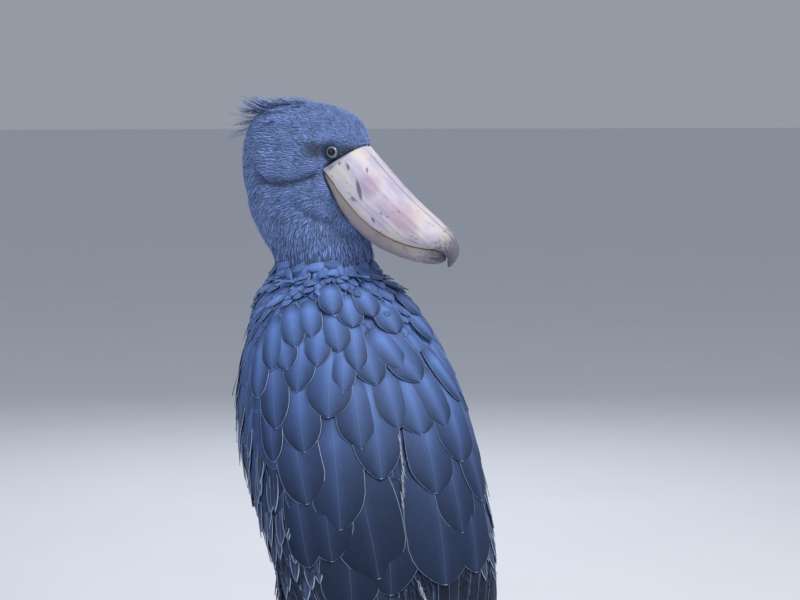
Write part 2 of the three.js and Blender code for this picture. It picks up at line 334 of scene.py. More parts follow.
def eye_hollows(obj):
    """Sinks the sockets, rings them with lids, raises the brows and pinches the lores."""
    points = places(obj)
    ahead = to_head(points)
    for side in (-1, 1):
        out = ahead[:, 1] * side
        trough = np.exp(-((ahead[:, 0] + 0.013) / 0.026) ** 2 - ((ahead[:, 2] - 0.001) / 0.0105) ** 2)
        brow = np.exp(-((ahead[:, 0] + 0.004) / 0.030) ** 2 - ((ahead[:, 2] - 0.0165) / 0.0075) ** 2)
        out = out - 0.0032 * trough + 0.0026 * brow
        gap = eye_gap(ahead)
        lid = np.interp(gap, [0.0, 0.0084, 0.0098, 0.0110, 0.0130], [0.044, 0.0455, 0.0492, 0.0496, 0.0482])
        share = 1 - smoothstep(gap, 0.0112, 0.0160)
        out = out * (1 - share) + lid * share
        near = (ahead[:, 1] * side > 0.02) & (np.abs(ahead[:, 0]) < 0.09)
        ahead[:, 1] = np.where(near, out * side, ahead[:, 1])
    move(obj, from_head(ahead))


def subdivide_near(obj, centre, reach, cuts):
    """Adds faces to the stretch of a mesh that lies within reach of a place."""
    only(obj)
    bpy.ops.object.mode_set(mode="EDIT")
    bpy.ops.mesh.select_mode(type="FACE")
    bpy.ops.mesh.select_all(action="DESELECT")
    bpy.ops.object.mode_set(mode="OBJECT")
    middles = np.empty(len(obj.data.polygons) * 3)
    obj.data.polygons.foreach_get("center", middles)
    near = np.linalg.norm(middles.reshape(-1, 3) - centre, axis=1) < reach
    obj.data.polygons.foreach_set("select", near)
    bpy.ops.object.mode_set(mode="EDIT")
    bpy.ops.mesh.subdivide(number_cuts=cuts, smoothness=0)
    bpy.ops.object.mode_set(mode="OBJECT")


def gape_fold(along):
    """The height of the fold that runs back from the gape, by the distance ahead of the eyes."""
    return np.interp(along, [-0.110, -0.102, -0.088, -0.065, -0.040, -0.015],
                     [-0.008, -0.023, -0.036, -0.038, -0.034, -0.024])


def face_relief(obj):
    """Works the cheek in: the ear patch stands over a fold from the gape, and the jowl bulges."""
    points = places(obj)
    ahead = to_head(points)
    along, up = ahead[:, 0], ahead[:, 2]
    fold = gape_fold(along)
    window = smoothstep(along, -0.114, -0.098) * (1 - smoothstep(along, -0.030, -0.010))
    over = smoothstep(up - fold, -0.001, 0.004) * (1 - smoothstep(up - fold, 0.014, 0.050))
    under = np.exp(-((up - fold + 0.003) / 0.0035) ** 2)
    jaw = np.interp(along, [-0.055, -0.037, -0.009, 0.016, 0.040], [-0.062, -0.074, -0.090, -0.105, -0.118])
    jaw_window = smoothstep(along, -0.070, -0.040) * (1 - smoothstep(along, 0.030, 0.050))
    jowl = smoothstep(up - jaw, -0.001, 0.006) * (1 - smoothstep(up - jaw, 0.020, 0.050))
    chin = np.exp(-((up - jaw + 0.004) / 0.0045) ** 2)
    height = window * (0.0052 * over - 0.0030 * under) + jaw_window * (0.0045 * jowl - 0.0030 * chin)
    outer = smoothstep(np.abs(ahead[:, 1]), 0.012, 0.026)
    move(obj, points + normals(obj) * (height * outer)[:, None])


face_relief(skin)
for side in (-1, 1):
    subdivide_near(skin, from_head([0, side * 0.05, 0]), LID_REACH, LID_CUTS)
eye_hollows(skin)
eye_hollows(form)
skin_tree = tree_of(skin)
form_tree = tree_of(form)

# The feathers: thin closed vanes that lie on the skin in shingles, each with its root under
# the tips above it. A vane follows the surface from its root, stands a little higher
# towards its tip, and has a shaft, barbs and a narrow rim. Each coat is one joined mesh.

rng = np.random.default_rng(7)

NECK_BASE = np.array([0.0, -0.058 - SET_BACK, 0.955])
BODY_WAY = np.array([0.0, 0.47, -0.88])
DOWN = np.array([0.0, 0.0, -1.0])
OUTLINES = {
    # half the width of a vane, as a share of its widest, by the share of its length
    "ovate": ([0, 0.12, 0.35, 0.62, 0.8, 0.9, 0.97, 1], [0.5, 0.78, 0.96, 1.0, 0.88, 0.62, 0.30, 0.06]),
    "covert": ([0, 0.15, 0.4, 0.62, 0.78, 0.89, 0.96, 1], [0.6, 0.85, 1.0, 0.93, 0.72, 0.46, 0.20, 0.03]),
    "lance": ([0, 0.1, 0.3, 0.5, 0.7, 0.85, 1], [0.5, 0.85, 1.0, 0.9, 0.62, 0.34, 0.05]),
    "scapular": ([0, 0.1, 0.3, 0.55, 0.72, 0.82, 0.9, 0.96, 0.985, 1],
                 [0.5, 0.74, 0.92, 1.0, 0.97, 0.86, 0.64, 0.37, 0.20, 0.03]),
    "flight": ([0, 0.08, 0.3, 0.75, 0.88, 0.96, 1], [0.5, 0.85, 1.0, 0.96, 0.76, 0.40, 0.08]),
    "tuft": ([0, 0.3, 0.7, 1], [0.75, 1.0, 0.7, 0.10]),
}


def unit(vectors):
    return vectors / np.maximum(np.linalg.norm(vectors, axis=-1, keepdims=True), 1e-9)


def nearest(tree, points):
    """The closest places on a surface, and the directions out of it there."""
    flat = points.reshape(-1, 3)
    found = [tree.find_nearest(p)[:2] for p in flat.tolist()]
    spots = np.array([f[0] for f in found]).reshape(points.shape)
    outs = np.array([f[1] for f in found]).reshape(points.shape)
    return spots, outs


def crowded(grid, key, spot, gap):
    """True where a taken place lies within the gap."""
    cells_near = itertools.product(*[(k - 1, k, k + 1) for k in key])
    return any(math.dist(other, spot) < gap for cell in cells_near for other in grid.get(cell, ()))


def scattered(obj, spacing, keep, tries=4.0):
    """Evenly spread random places on a mesh: spacing and keep are functions of places."""
    mesh = obj.data
    mesh.calc_loop_triangles()
    corners = np.empty(len(mesh.loop_triangles) * 3, int)
    mesh.loop_triangles.foreach_get("vertices", corners)
    tri = places(obj)[corners.reshape(-1, 3)]
    middles = tri.mean(axis=1)
    chosen = keep(middles)
    tri, middles = tri[chosen], middles[chosen]
    area = np.linalg.norm(np.cross(tri[:, 1] - tri[:, 0], tri[:, 2] - tri[:, 0]), axis=1) / 2
    weight = area / spacing(middles) ** 2
    count = int(weight.sum() * tries)
    pick = rng.choice(len(tri), count, p=weight / weight.sum())
    a, b = rng.random((2, count, 1))
    a, b = np.where(a + b > 1, 1 - a, a), np.where(a + b > 1, 1 - b, b)
    spots = tri[pick, 0] + a * (tri[pick, 1] - tri[pick, 0]) + b * (tri[pick, 2] - tri[pick, 0])
    gaps = spacing(spots)
    keys = np.floor(spots / gaps.max()).astype(int).tolist()
    grid = {}
    taken = []
    for i, (key, spot, gap) in enumerate(zip(keys, spots.tolist(), gaps.tolist())):
        if not crowded(grid, key, spot, gap):
            grid.setdefault(tuple(key), []).append(spot)
            taken.append(i)
    return spots[taken]


def swung(ways, spread):
    """Directions turned a little at random."""
    return unit(ways + rng.normal(0, spread, ways.shape))


def body_ways(points):
    """The lie of the feathers: out from the neck over the shoulders, then down the back."""
    away = unit(points - NECK_BASE)
    near = 1 - smoothstep(np.linalg.norm(points - NECK_BASE, axis=1), 0.08, 0.30)
    way = unit(away * near[:, None] + BODY_WAY * (1 - near[:, None]) * 1.1)
    legs = 1 - smoothstep(points[:, 2], 0.44, 0.54)
    front = smoothstep(-points[:, 1], 0.03, 0.12)[:, None]
    hanging = np.array([0.0, 0.05, -1.0])
    way = unit(way * (1 - 0.7 * front) + hanging * 0.7 * front)
    return unit(way * (1 - legs[:, None]) + hanging * legs[:, None])


def head_ways(points):
    """Back from the bill over the head, and down the neck."""
    ahead = to_head(points)
    back = np.array([-1.0, 0.0, 0.10]) @ HEAD_AXES
    down = np.array([-0.25, 0.0, -1.0]) @ HEAD_AXES
    neck = smoothstep(-ahead[:, 2], 0.03, 0.115)
    nape = smoothstep(-ahead[:, 0], 0.075, 0.135) * smoothstep(-ahead[:, 2], -0.05, 0.02)
    share = np.maximum(neck, nape)[:, None]
    way = unit(back * (1 - share) + down * share)
    low = (1 - smoothstep(points[:, 2], 0.94, 1.0))[:, None]
    return unit(way * (1 - low) + DOWN * low)


def body_axis(height):
    """How far back the body's middle line lies: it leans forward from the tail to the neck."""
    return 0.10 - 0.24 * smoothstep(height, 0.35, 0.95) - SET_BACK


def body_turn(points):
    """The angle round the body's middle line: 0 at the back, ±π at the breast."""
    return np.arctan2(points[:, 0], points[:, 1] - body_axis(points[:, 2]))


def body_unwrap(points):
    """The skin rolled out flat about the body's middle line."""
    turn = body_turn(points) / (2 * math.pi) + 0.5
    return np.stack([turn * 0.96 + 0.01, np.clip((points[:, 2] - 0.26) / 0.72, 0, 1) * 0.96 + 0.01], 1)


def head_unwrap(points):
    """The head and neck rolled out flat about a line from the nape to the bill."""
    ahead = to_head(points)
    turn = np.arctan2(ahead[:, 1], ahead[:, 2] + 0.03) / (2 * math.pi) + 0.5
    return np.stack([turn * 0.96 + 0.01, np.clip((ahead[:, 0] + 0.17) / 0.25, 0, 1) * 0.96 + 0.01], 1)


def cells(roots, unwrap):
    """A cell of the texture for each vane, in the order in which they lie on the unwrap."""
    count = len(roots)
    grid = math.ceil(math.sqrt(count))
    flat = unwrap(roots)
    ranks = np.argsort(np.argsort(flat[:, 1], kind="stable"), kind="stable")
    line = ranks // grid
    order = np.lexsort((flat[:, 0], line))
    column = np.empty(count, int)
    column[order] = np.arange(count) - line[order] * grid
    return np.stack([column, line], 1) / grid, 0.92 / grid


def marked(obj, **values):
    """Gives each point of a mesh numbers of its own, for the material to read."""
    for key, value in values.items():
        obj.data.attributes.new(key, "FLOAT", "POINT").data.foreach_set("value", value.ravel())


def coat(name, tree, roots, ways, lengths, widths, outline="ovate", rows=6, columns=5, low=0.0006,
         high=0.003, tilt=0.0, arch=0.0008, curl=0.0, rim=0.0012, wrap=True, shade=0.5, bow=0.0, mask=0.0,
         unwrap=body_unwrap, atlas=False, fronts=None, replaces=()):
    """A joined mesh of vanes, from arrays of their roots, directions, lengths and half widths.
    Where fronts are given, the vanes stand free and face that way."""
    count = len(roots)
    lengths, widths, low, high, tilt, shade, curl, bow, mask = [
        np.broadcast_to(np.asarray(value, float), (count,))
        for value in (lengths, widths, low, high, tilt, shade, curl, bow, mask)]
    along = np.linspace(0, 1, rows)
    if rows > 12:
        along = np.concatenate([np.linspace(0, 0.72, rows - 6), [0.80, 0.87, 0.925, 0.965, 0.99, 1.0]])
    elif rows > 5:
        along = np.concatenate([np.linspace(0, 0.74, rows - 4), [0.85, 0.935, 0.98, 1.0]])
    steps = np.diff(along, prepend=0)
    place, way = roots.copy(), unit(ways)
    centres, outs, paths = np.zeros((3, count, rows, 3))
    for k in range(rows):
        place = place + way * (lengths * steps[k])[:, None]
        if fronts is None:
            place, out = nearest(tree, place)
            way = unit(way + np.cross(out, way) * (bow * steps[k])[:, None])
        else:
            out = unit(fronts - way * (fronts * way).sum(1, keepdims=True))
            way = unit(way + out * (bow * steps[k])[:, None])
        way = unit(way - out * (way * out).sum(1, keepdims=True))
        centres[:, k], outs[:, k], paths[:, k] = place, out, way
    smooth = outs.copy()
    smooth[:, 1:-1] = outs[:, :-2] + outs[:, 1:-1] * 2 + outs[:, 2:]
    outs = unit(smooth)
    sides = unit(np.cross(paths, outs))
    half = widths[:, None] * np.interp(along, *OUTLINES[outline])[None]
    inner = np.clip(1 - rim / np.maximum(half, 1e-5), 0.3, 0.97)
    within = np.linspace(-1, 1, columns - 2) if columns > 3 else np.zeros(1)
    edge = np.ones((count, rows, 1))
    across = np.concatenate([-edge, inner[..., None] * within, edge], 2)
    rims = np.array([1.0] + [0] * (columns - 2) + [1])
    reach = across * half[:, :, None]
    points = centres[:, :, None] + sides[:, :, None] * reach[..., None]
    lift = np.broadcast_to(outs[:, :, None], points.shape)
    if wrap and fronts is None:
        points, found = nearest(tree, points)
        lift = unit(found + outs[:, :, None] * 2)
    rise = low[:, None] + (high - low)[:, None] * along[None] ** 1.1
    rise = rise - curl[:, None] * smoothstep(along, 0.75, 1.0)[None]
    height = rise[:, :, None] + tilt[:, None, None] * across * (0.3 + 0.7 * along[None, :, None])
    height = height + arch * (1 - across ** 2) * (0.3 + 0.7 * along[None, :, None])
    points = points + lift * height[..., None]
    base = (np.arange(count) * rows * columns)[:, None, None]
    r, c = np.meshgrid(np.arange(rows - 1), np.arange(columns - 1), indexing="ij")
    corner = (r * columns + c).ravel()[None, :, None]
    tops = (base + corner + np.array([0, 1, columns + 1, columns])[None, None]).reshape(-1, 4)
    under = (np.arange(rows - 1) * columns)[None, :, None]
    under = (base + under + np.array([0, columns, 2 * columns - 1, columns - 1])[None, None]).reshape(-1, 4)
    root_ring = base[:, 0] + np.arange(columns)[None, ::-1]
    tip_ring = base[:, 0] + (rows - 1) * columns + np.arange(columns)[None]
    corners = np.concatenate([tops.ravel(), under.ravel(), root_ring.ravel(), tip_ring.ravel()])
    sizes = np.concatenate([np.full(len(tops) + len(under), 4), np.full(count * 2, columns)])
    mesh = bpy.data.meshes.new(name)
    mesh.vertices.add(points.size // 3)
    mesh.vertices.foreach_set("co", points.ravel())
    mesh.loops.add(len(corners))
    mesh.loops.foreach_set("vertex_index", corners.astype(np.int32))
    mesh.polygons.add(len(sizes))
    mesh.polygons.foreach_set("loop_start", (np.cumsum(sizes) - sizes).astype(np.int32))
    mesh.polygons.foreach_set("use_smooth", np.arange(len(sizes)) < len(tops))
    mesh.update(calc_edges=True)
    obj = bpy.data.objects.new(name, mesh)
    bpy.context.scene.collection.objects.link(obj)
    ones = np.ones((count, rows, columns))
    marked(obj, rim=np.maximum(ones * rims, (along[None, :, None] > 0.99) * ones),
           tip=ones * along[None, :, None], side=np.abs(across) * ones,
           shade=ones * shade[:, None, None], mask=ones * mask[:, None, None])
    run = along[None, :, None] * lengths[:, None, None] * ones
    own = rng.random((count, 1, 1)) * 9
    barb = np.stack([run - 0.9 * np.abs(reach) - 26 * reach ** 2 + own, reach, ones * own], -1)
    mesh.attributes.new("barb", "FLOAT_VECTOR", "POINT").data.foreach_set("vector", barb.ravel())
    start, size = cells(roots, unwrap) if atlas else (unwrap(roots), 0.003)
    local = np.stack([(across + 1) / 2, ones * along[None, :, None]], -1)
    spots = (start[:, None, None] + local * size).reshape(-1, 2)
    uv = mesh.uv_layers.new(name="OFBake")
    uv.data.foreach_set("uv", spots[corners].ravel())
    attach(obj, "root")
    if replaces:
        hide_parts(*replaces)
    return obj


DARK_SLATE = (0.017, 0.028, 0.060)
MANTLE_BLUE = (0.094, 0.170, 0.410)
HEAD_BLUE = (0.150, 0.235, 0.500)
BREAST_GREY = (0.120, 0.165, 0.290)
BELLY_GREY = (0.300, 0.330, 0.400)
RIM_PALE = (0.400, 0.500, 0.720)
TIP_DARK_AND_ROOT_SHADE = (0.014, 0.024, 0.056)
FACE_DARK_AND_SHADE = (0.016, 0.025, 0.054)


def clamp(value):
    """A number held between 0 and 1."""
    return value.material.node("ShaderNodeClamp", None, [value])


def scaled(colour, share):
    """A colour made darker or lighter, in its own hue."""
    return share.material.node("ShaderNodeVectorMath", {"operation": "SCALE"}, {0: colour, "Scale": share})


def markings(finish):
    """The colours of skin and coat alike, by place on the bird."""
    place = finish.position()
    height, depth = finish.part(place, "Z"), finish.part(place, "Y")
    patches = finish.noise(place, 9.0, 3.0)
    back = finish.mix(finish.ramp(height + (patches - 0.5) * 0.12, 0.55, 0.92), DARK_SLATE, MANTLE_BLUE)
    body = finish.mix(finish.ramp(height, 0.91, 0.97), back, HEAD_BLUE)
    front = finish.ramp(depth * -1.0, 0.06, 0.13) * (1 - finish.ramp(height, 0.86, 0.95))
    body = finish.mix(front * 0.75, body, BREAST_GREY)
    belly = front * (1 - finish.ramp(height, 0.50, 0.72)) + (1 - finish.ramp(height, 0.34, 0.46)) * 0.6
    body = finish.mix(clamp(belly) * 0.8, body, BELLY_GREY)
    # the dark patch round the eyes, partly painted shade under the brows and in the gape's fold
    return finish.mix(finish.attribute("mask") * 0.9, body, FACE_DARK_AND_SHADE)


def barbs_of(finish, across, along):
    """How far a point lies from its vane's shaft, and the fine lines of the barbs."""
    lane = finish.node("ShaderNodeAttribute", {"attribute_name": "barb"}, out="Vector")
    reach = finish.node("ShaderNodeMath", {"operation": "ABSOLUTE"}, [finish.part(lane, "Y")])
    return reach, finish.noise(finish.stretch(lane, (across, along, 1.0)), 1.0, 3.0, 0.6)


def plumage(name, rim=0.8, darken=0.75, barbs=0.22, rough=0.60, streak=(330.0, 30.0), bump=0.35,
            contrast=0.5, shaft=0.12, sheen=0.0, gloss=0.15):
    """Feathers in the colours of their place, darker to the tip, with pale edges and a shaft.
    The root of each vane has painted shade, where the feathers over it lie.
    """
    finish = Finish(name, Roughness=rough, Sheen_Weight=sheen, Specular_IOR_Level=gloss)
    colour = markings(finish)
    shade = finish.attribute("shade")
    tip = finish.attribute("tip")
    side = finish.attribute("side")
    reach, lines = barbs_of(finish, *streak)
    far = clamp(finish.ramp(tip, 0.25, 1.0, smooth=False) * 0.72 + finish.ramp(side, 0.1, 1.0) * 0.42 - 0.06)
    colour = finish.mix(far * darken, colour, TIP_DARK_AND_ROOT_SHADE)
    # painted shade: each vane darker at its root, where the feathers over it would shade it
    colour = finish.mix((1 - finish.ramp(tip, 0.0, 0.30)) * 0.6, colour, TIP_DARK_AND_ROOT_SHADE)
    colour = scaled(colour, 1 + (shade - 0.5) * contrast * 2.4 + (lines - 0.5) * barbs * 4.0)
    if shaft:
        colour = scaled(colour, 1 + (1 - finish.ramp(reach, 0.0, 0.012)) * shaft * 2.2)
        colour = finish.mix((1 - finish.ramp(reach, 0.0002, 0.0008)) * shaft * 0.5, colour, RIM_PALE)
    if rim:
        colour = finish.mix(finish.ramp(finish.attribute("rim"), 0.2, 0.6) * rim, colour, RIM_PALE)
    return finish.feed(Base_Color=colour, Normal=finish.bump(lines, bump, 0.0006))


# The back feathers: the scapulars and mantle, broad vanes with pale edges that fan out from
# the neck. The large ones that show most are set one by one, where they lie in the picture.
# The smaller ones round and under them are scattered, evenly but at random.

SCAPULARS = [
    # tip: column and row, root: column and row, width in pixels, how light
    (263, 399, 266, 336, 20, 0.60), (280, 429, 275, 348, 26, 0.42), (289, 372, 281, 325, 23, 0.55),
    (299, 393, 304, 330, 26, 0.50), (318, 368, 320, 318, 22, 0.60), (328, 419, 330, 342, 37, 0.55),
    (338, 354, 331, 312, 24, 0.45), (306, 453, 299, 372, 32, 0.48), (278, 462, 271, 390, 20, 0.35),
    (308, 504, 293, 412, 37, 0.45), (340, 529, 331, 410, 43, 0.50), (379, 479, 362, 365, 40, 0.58),
    (374, 387, 356, 336, 27, 0.50), (342, 395, 344, 340, 20, 0.55), (356, 373, 350, 322, 20, 0.48),
    (377, 577, 351, 455, 56, 0.34), (332, 560, 318, 452, 40, 0.40), (389, 593, 382, 480, 50, 0.42),
    (360, 450, 350, 372, 34, 0.42), (312, 566, 296, 480, 30, 0.36), (352, 612, 345, 520, 46, 0.42),
    (416, 384, 376, 330, 34, 0.62), (455, 402, 422, 350, 22, 0.58), (428, 343, 402, 310, 21, 0.52),
    (393, 336, 376, 304, 26, 0.50), (370, 320, 357, 292, 22, 0.48), (351, 330, 344, 298, 22, 0.56),
    (332, 318, 329, 290, 20, 0.50), (414, 319, 394, 296, 19, 0.50), (418, 436, 399, 372, 38, 0.66),
    (457, 462, 437, 380, 43, 0.60), (433, 493, 416, 404, 42, 0.56), (472, 571, 455, 458, 47, 0.58),
    (442, 583, 424, 452, 60, 0.56), (491, 541, 475, 446, 38, 0.50), (501, 594, 487, 500, 38, 0.46),
    (396, 430, 380, 366, 30, 0.48), (476, 500, 455, 420, 34, 0.55), (441, 428, 412, 364, 30, 0.56),
    (458, 532, 438, 440, 40, 0.52), (312, 340, 309, 304, 20, 0.52),
    (297, 350, 292, 308, 20, 0.48), (276, 372, 277, 318, 20, 0.52), (399, 372, 372, 330, 26, 0.55),
]
PIXEL = CAMERA_DISTANCE / FOCAL_PIXELS  # metres to a pixel, at the bird
SMALL_VANE = 0.0062
SCAPULAR_HALF = 0.62  # the true half width, as a share of the width that shows

camera_turn = camera.rotation_euler.to_matrix()


def sight_line(column, row):
    """The direction from the camera through a pixel."""
    right = (column - IMAGE_SIZE[0] / 2) / FOCAL_PIXELS
    up = (IMAGE_SIZE[1] / 2 - row) / FOCAL_PIXELS
    return camera_turn @ Vector((right, up, -1))


def seen_at(column, row):
    """The place on the form that shows at a pixel."""
    place = form_tree.ray_cast(camera_place, sight_line(column, row))[0]
    return np.array(place) if place else None


def vane_size(points):
    """Half the width of a back or wing feather: large down the back, small on the edges."""
    big = np.interp(points[:, 2], [0.70, 0.80, 0.86, 0.90, 0.93], [0.0200, 0.0155, 0.0120, 0.0078, 0.0056])
    turn = body_turn(points)
    edge = smoothstep(np.where(turn > 0, turn, -turn - 0.35), 1.0, 1.45)
    return big * (1 - edge) + SMALL_VANE * edge


def covert_edge(height):
    """The angle round the body where the coverts of the wing begin."""
    return np.interp(height, [0.58, 0.66, 0.79, 0.86], [0.66, 0.80, 1.17, 1.35])


def on_back(points):
    """True between the coverts of the two wings, and all round the foot of the neck."""
    turn = np.abs(body_turn(points))
    back = (points[:, 2] > 0.50) & (turn < covert_edge(points[:, 2]) - 0.04)
    ruff = (points[:, 2] > 0.85) & (turn < 2.6)
    return (back | ruff) & (points[:, 2] < 0.935)


roots = scattered(skin, lambda p: vane_size(p) * 0.85, on_back)
halves = vane_size(roots) * rng.uniform(0.85, 1.12, len(roots))
slim = smoothstep(np.abs(body_turn(roots)), 1.0, 1.45)
loose = smoothstep(roots[:, 2], 0.865, 0.91)
spread = (0.07 + 0.20 * smoothstep(roots[:, 2], 0.85, 0.90))[:, None]
mantle = coat("mantle", form_tree, roots, swung(body_ways(roots), spread),
              halves * (4.0 + 1.6 * slim), halves, rows=9, columns=7, low=0.001,
              high=0.003 + (halves * 0.24 + rng.exponential(0.0030, len(roots))) * loose,
              tilt=rng.normal(0, 0.10, len(roots)) * halves, arch=0.0014,
              curl=rng.uniform(0, 0.002, len(roots)),
              shade=np.clip(rng.normal(0.50, 0.14, len(roots)), 0.25, 0.75), atlas=True)
mantle.data.materials.append(plumage("mantle feathers", rim=0.6, darken=0.45, contrast=0.5, streak=(620, 30)))

tips, heads, halves, shades = [], [], [], []
for tip_x, tip_y, root_x, root_y, wide, light in SCAPULARS:
    tip, root = seen_at(tip_x, tip_y), seen_at(root_x, root_y)
    if tip is None or root is None:
        continue
    tips.append(tip)
    heads.append(root)
    halves.append(wide * PIXEL * SCAPULAR_HALF)
    shades.append(light)
tips, heads, halves = np.array(tips), np.array(heads), np.array(halves)
spans = np.linalg.norm(tips - heads, axis=1)
above = np.argsort(np.argsort(-tips[:, 2])) / len(tips)
lifted = 0.0065 - 0.0022 * above + 0.0026 * smoothstep(tips[:, 2], 0.84, 0.875)
scapulars = coat("scapulars", form_tree, heads, tips - heads, spans * 1.02, halves, rows=18, columns=7,
                 outline="scapular", low=lifted, high=lifted + 0.0033 - 0.0010 * above + spans * 0.014,
                 tilt=-np.sign(heads[:, 0]) * 0.0003, arch=0.0018, curl=0.0016, shade=np.array(shades),
                 rim=0.0011, atlas=True)
scapulars.data.materials.append(plumage("scapular feathers", rim=0.85, shaft=0.16, darken=0.90,
                                        barbs=0.16, streak=(800, 36), bump=0.25))

# The parting: white down that shows where the scapulars of the two wings meet. It is a line
# of short, fine tufts, rooted at the places where it shows in the picture.

PARTING = [
    # column and row of each stretch's ends
    ((396, 436), (400, 470)),
    ((400, 470), (399, 504)),
    ((416, 580), (426, 604)),
]
PARTING_TUFTS = 22  # to a stretch

starts = []
for first, last in PARTING:
    for share in np.linspace(0, 1, PARTING_TUFTS):
        column = first[0] + (last[0] - first[0]) * share + rng.normal(0, 0.5)
        starts.append(seen_at(column, first[1] + (last[1] - first[1]) * share))
starts = np.array(starts)
parting = coat("parting_down", form_tree, starts, swung(np.tile(BODY_WAY, (len(starts), 1)), 0.07),
               rng.uniform(0.008, 0.015, len(starts)), rng.uniform(0.0004, 0.0007, len(starts)),
               outline="lance", rows=6, columns=3, low=0.0080, high=0.0100, arch=0.0005)
down_finish = Finish("white down", Roughness=0.8, Specular_IOR_Level=0.2)
wisps = down_finish.noise(down_finish.position(), 260.0, 3.0)
down_finish.feed(Base_Color=down_finish.mix(wisps, (0.38, 0.43, 0.52), (0.66, 0.70, 0.76)))
parting.data.materials.append(down_finish.data)

# The head and neck coat: short, soft, close feathers, smallest on the face, that part round
# the eyes and run back from the bill and down the neck. They lie in shingles on the skin,
# and each is a small vane; the lids stay bare.

FACE_TOP = 1.12  # between the crown's coat and those of the sides of the head
NECK_TOP = 1.015  # between the head's coats and the neck's


def face_dark_and_shade(points):
    """1 round the eyes and before them, where the skin is dark and the brow's shadow is painted in,
    and along the fold from the gape, which is painted shade; 0 elsewhere.
    """
    ahead = to_head(points)
    gap = eye_gap(ahead)
    ring = 1 - smoothstep(gap, 0.0115, 0.0165)
    band = ahead[:, 2] - 0.0015 - 0.10 * (ahead[:, 0] + 0.012)
    # the dark patch about each eye: partly dark feathering, partly painted shadow of the brow
    patch = np.exp(-((ahead[:, 0] + 0.010) / 0.024) ** 4 - (band / 0.0105) ** 4)
    lores = smoothstep(ahead[:, 0], 0.004, 0.010)
    lores = lores * (1 - smoothstep(np.abs(ahead[:, 2] + 0.002), 0.007, 0.013))
    fold = gape_fold(ahead[:, 0])
    window = smoothstep(ahead[:, 0], -0.108, -0.096) * (1 - smoothstep(ahead[:, 0], -0.020, -0.008))
    # painted shade in the fold that runs back from the gape
    fold_shade = 0.7 * window * np.exp(-((ahead[:, 2] - fold + 0.004) / 0.0042) ** 2)
    outer = np.abs(ahead[:, 1]) > 0.022
    return np.where(outer, np.clip(np.max([ring, patch, lores, fold_shade], axis=0), 0, 1), 0)


def head_gap(points):
    """The distance between feathers: finest by the bill and eyes, coarser down the neck."""
    ahead = to_head(points)
    away = np.linalg.norm(ahead - np.array([0.01, 0, 0]), axis=1)
    return 0.0014 + 0.0012 * smoothstep(away, 0.045, 0.14) + 0.0012 * smoothstep(0.98 - points[:, 2], 0, 0.05)


def on_head(points):
    """True on the head and neck, but for the lids and where the bill covers the skin."""
    ahead = to_head(points)
    bare = (eye_gap(ahead) < 0.0125) & (np.abs(ahead[:, 1]) > 0.03)
    covered = (ahead[:, 0] > 0.030) & (ahead[:, 2] < 0.004)
    return (points[:, 2] > 0.915) & ~bare & ~covered


roots = scattered(skin, head_gap, on_head)
gaps = head_gap(roots)
ways = swung(head_ways(roots), 0.13)
masks = face_dark_and_shade(roots)
patch = (np.sin(roots[:, 0] * 310) + np.sin(roots[:, 2] * 270) + np.sin(roots[:, 1] * 290)) * 0.03
shades = rng.normal(0.56, 0.10, len(roots)) + patch
halves = gaps * rng.uniform(0.50, 0.68, len(roots))
upper = roots[:, 2] > NECK_TOP
crown = roots[:, 2] > FACE_TOP
left = to_head(roots)[:, 1] > 0
tuft_finish = plumage("head tufts", rim=0.15, darken=0.28, barbs=0.20, rough=0.75, streak=(1800.0, 260.0),
                      bump=0.0, contrast=1.0, shaft=0, sheen=0.10, gloss=0.2)
groups = {"crown_coat": crown, "head_coat_right": upper & ~crown & ~left,
          "head_coat_left": upper & ~crown & left, "neck_coat_right": ~upper & ~left,
          "neck_coat_left": ~upper & left}
for name, chosen in groups.items():
    count = chosen.sum()
    long = gaps[chosen] * rng.uniform(3.6, 5.0, count)
    high = gaps[chosen] * (rng.uniform(0.35, 0.6, count) + rng.exponential(0.16, count))
    piece = coat(name, skin_tree, roots[chosen], ways[chosen], long, halves[chosen], outline="tuft", rows=4,
                 columns=3, low=0.0002, high=high, arch=0.0003, wrap=False, mask=masks[chosen],
                 shade=shades[chosen], unwrap=head_unwrap)
    piece.data.materials.append(tuft_finish)

# The crest: a loose fringe of narrow wisps that stand off the back of the crown, thin and
# pointed, in a fan. The longest reach back past the nape, and a second, shorter tuft stands
# up before them.

CREST_ROWS = [
    # along the crown, behind the eyes: start, end, count, length, rise, half width
    (-0.056, -0.040, 34, 0.022, 0.34, 0.0017),
    (-0.072, -0.056, 46, 0.027, 0.26, 0.0020),
    (-0.090, -0.070, 54, 0.030, 0.22, 0.0021),
    (-0.108, -0.088, 60, 0.036, 0.36, 0.0024),
    (-0.114, -0.100, 9, 0.046, 0.48, 0.0042),
    (-0.128, -0.118, 8, 0.036, -0.05, 0.0034),
    (-0.118, -0.104, 46, 0.036, 0.14, 0.0024),
    (-0.130, -0.116, 36, 0.028, -0.25, 0.0021),
]

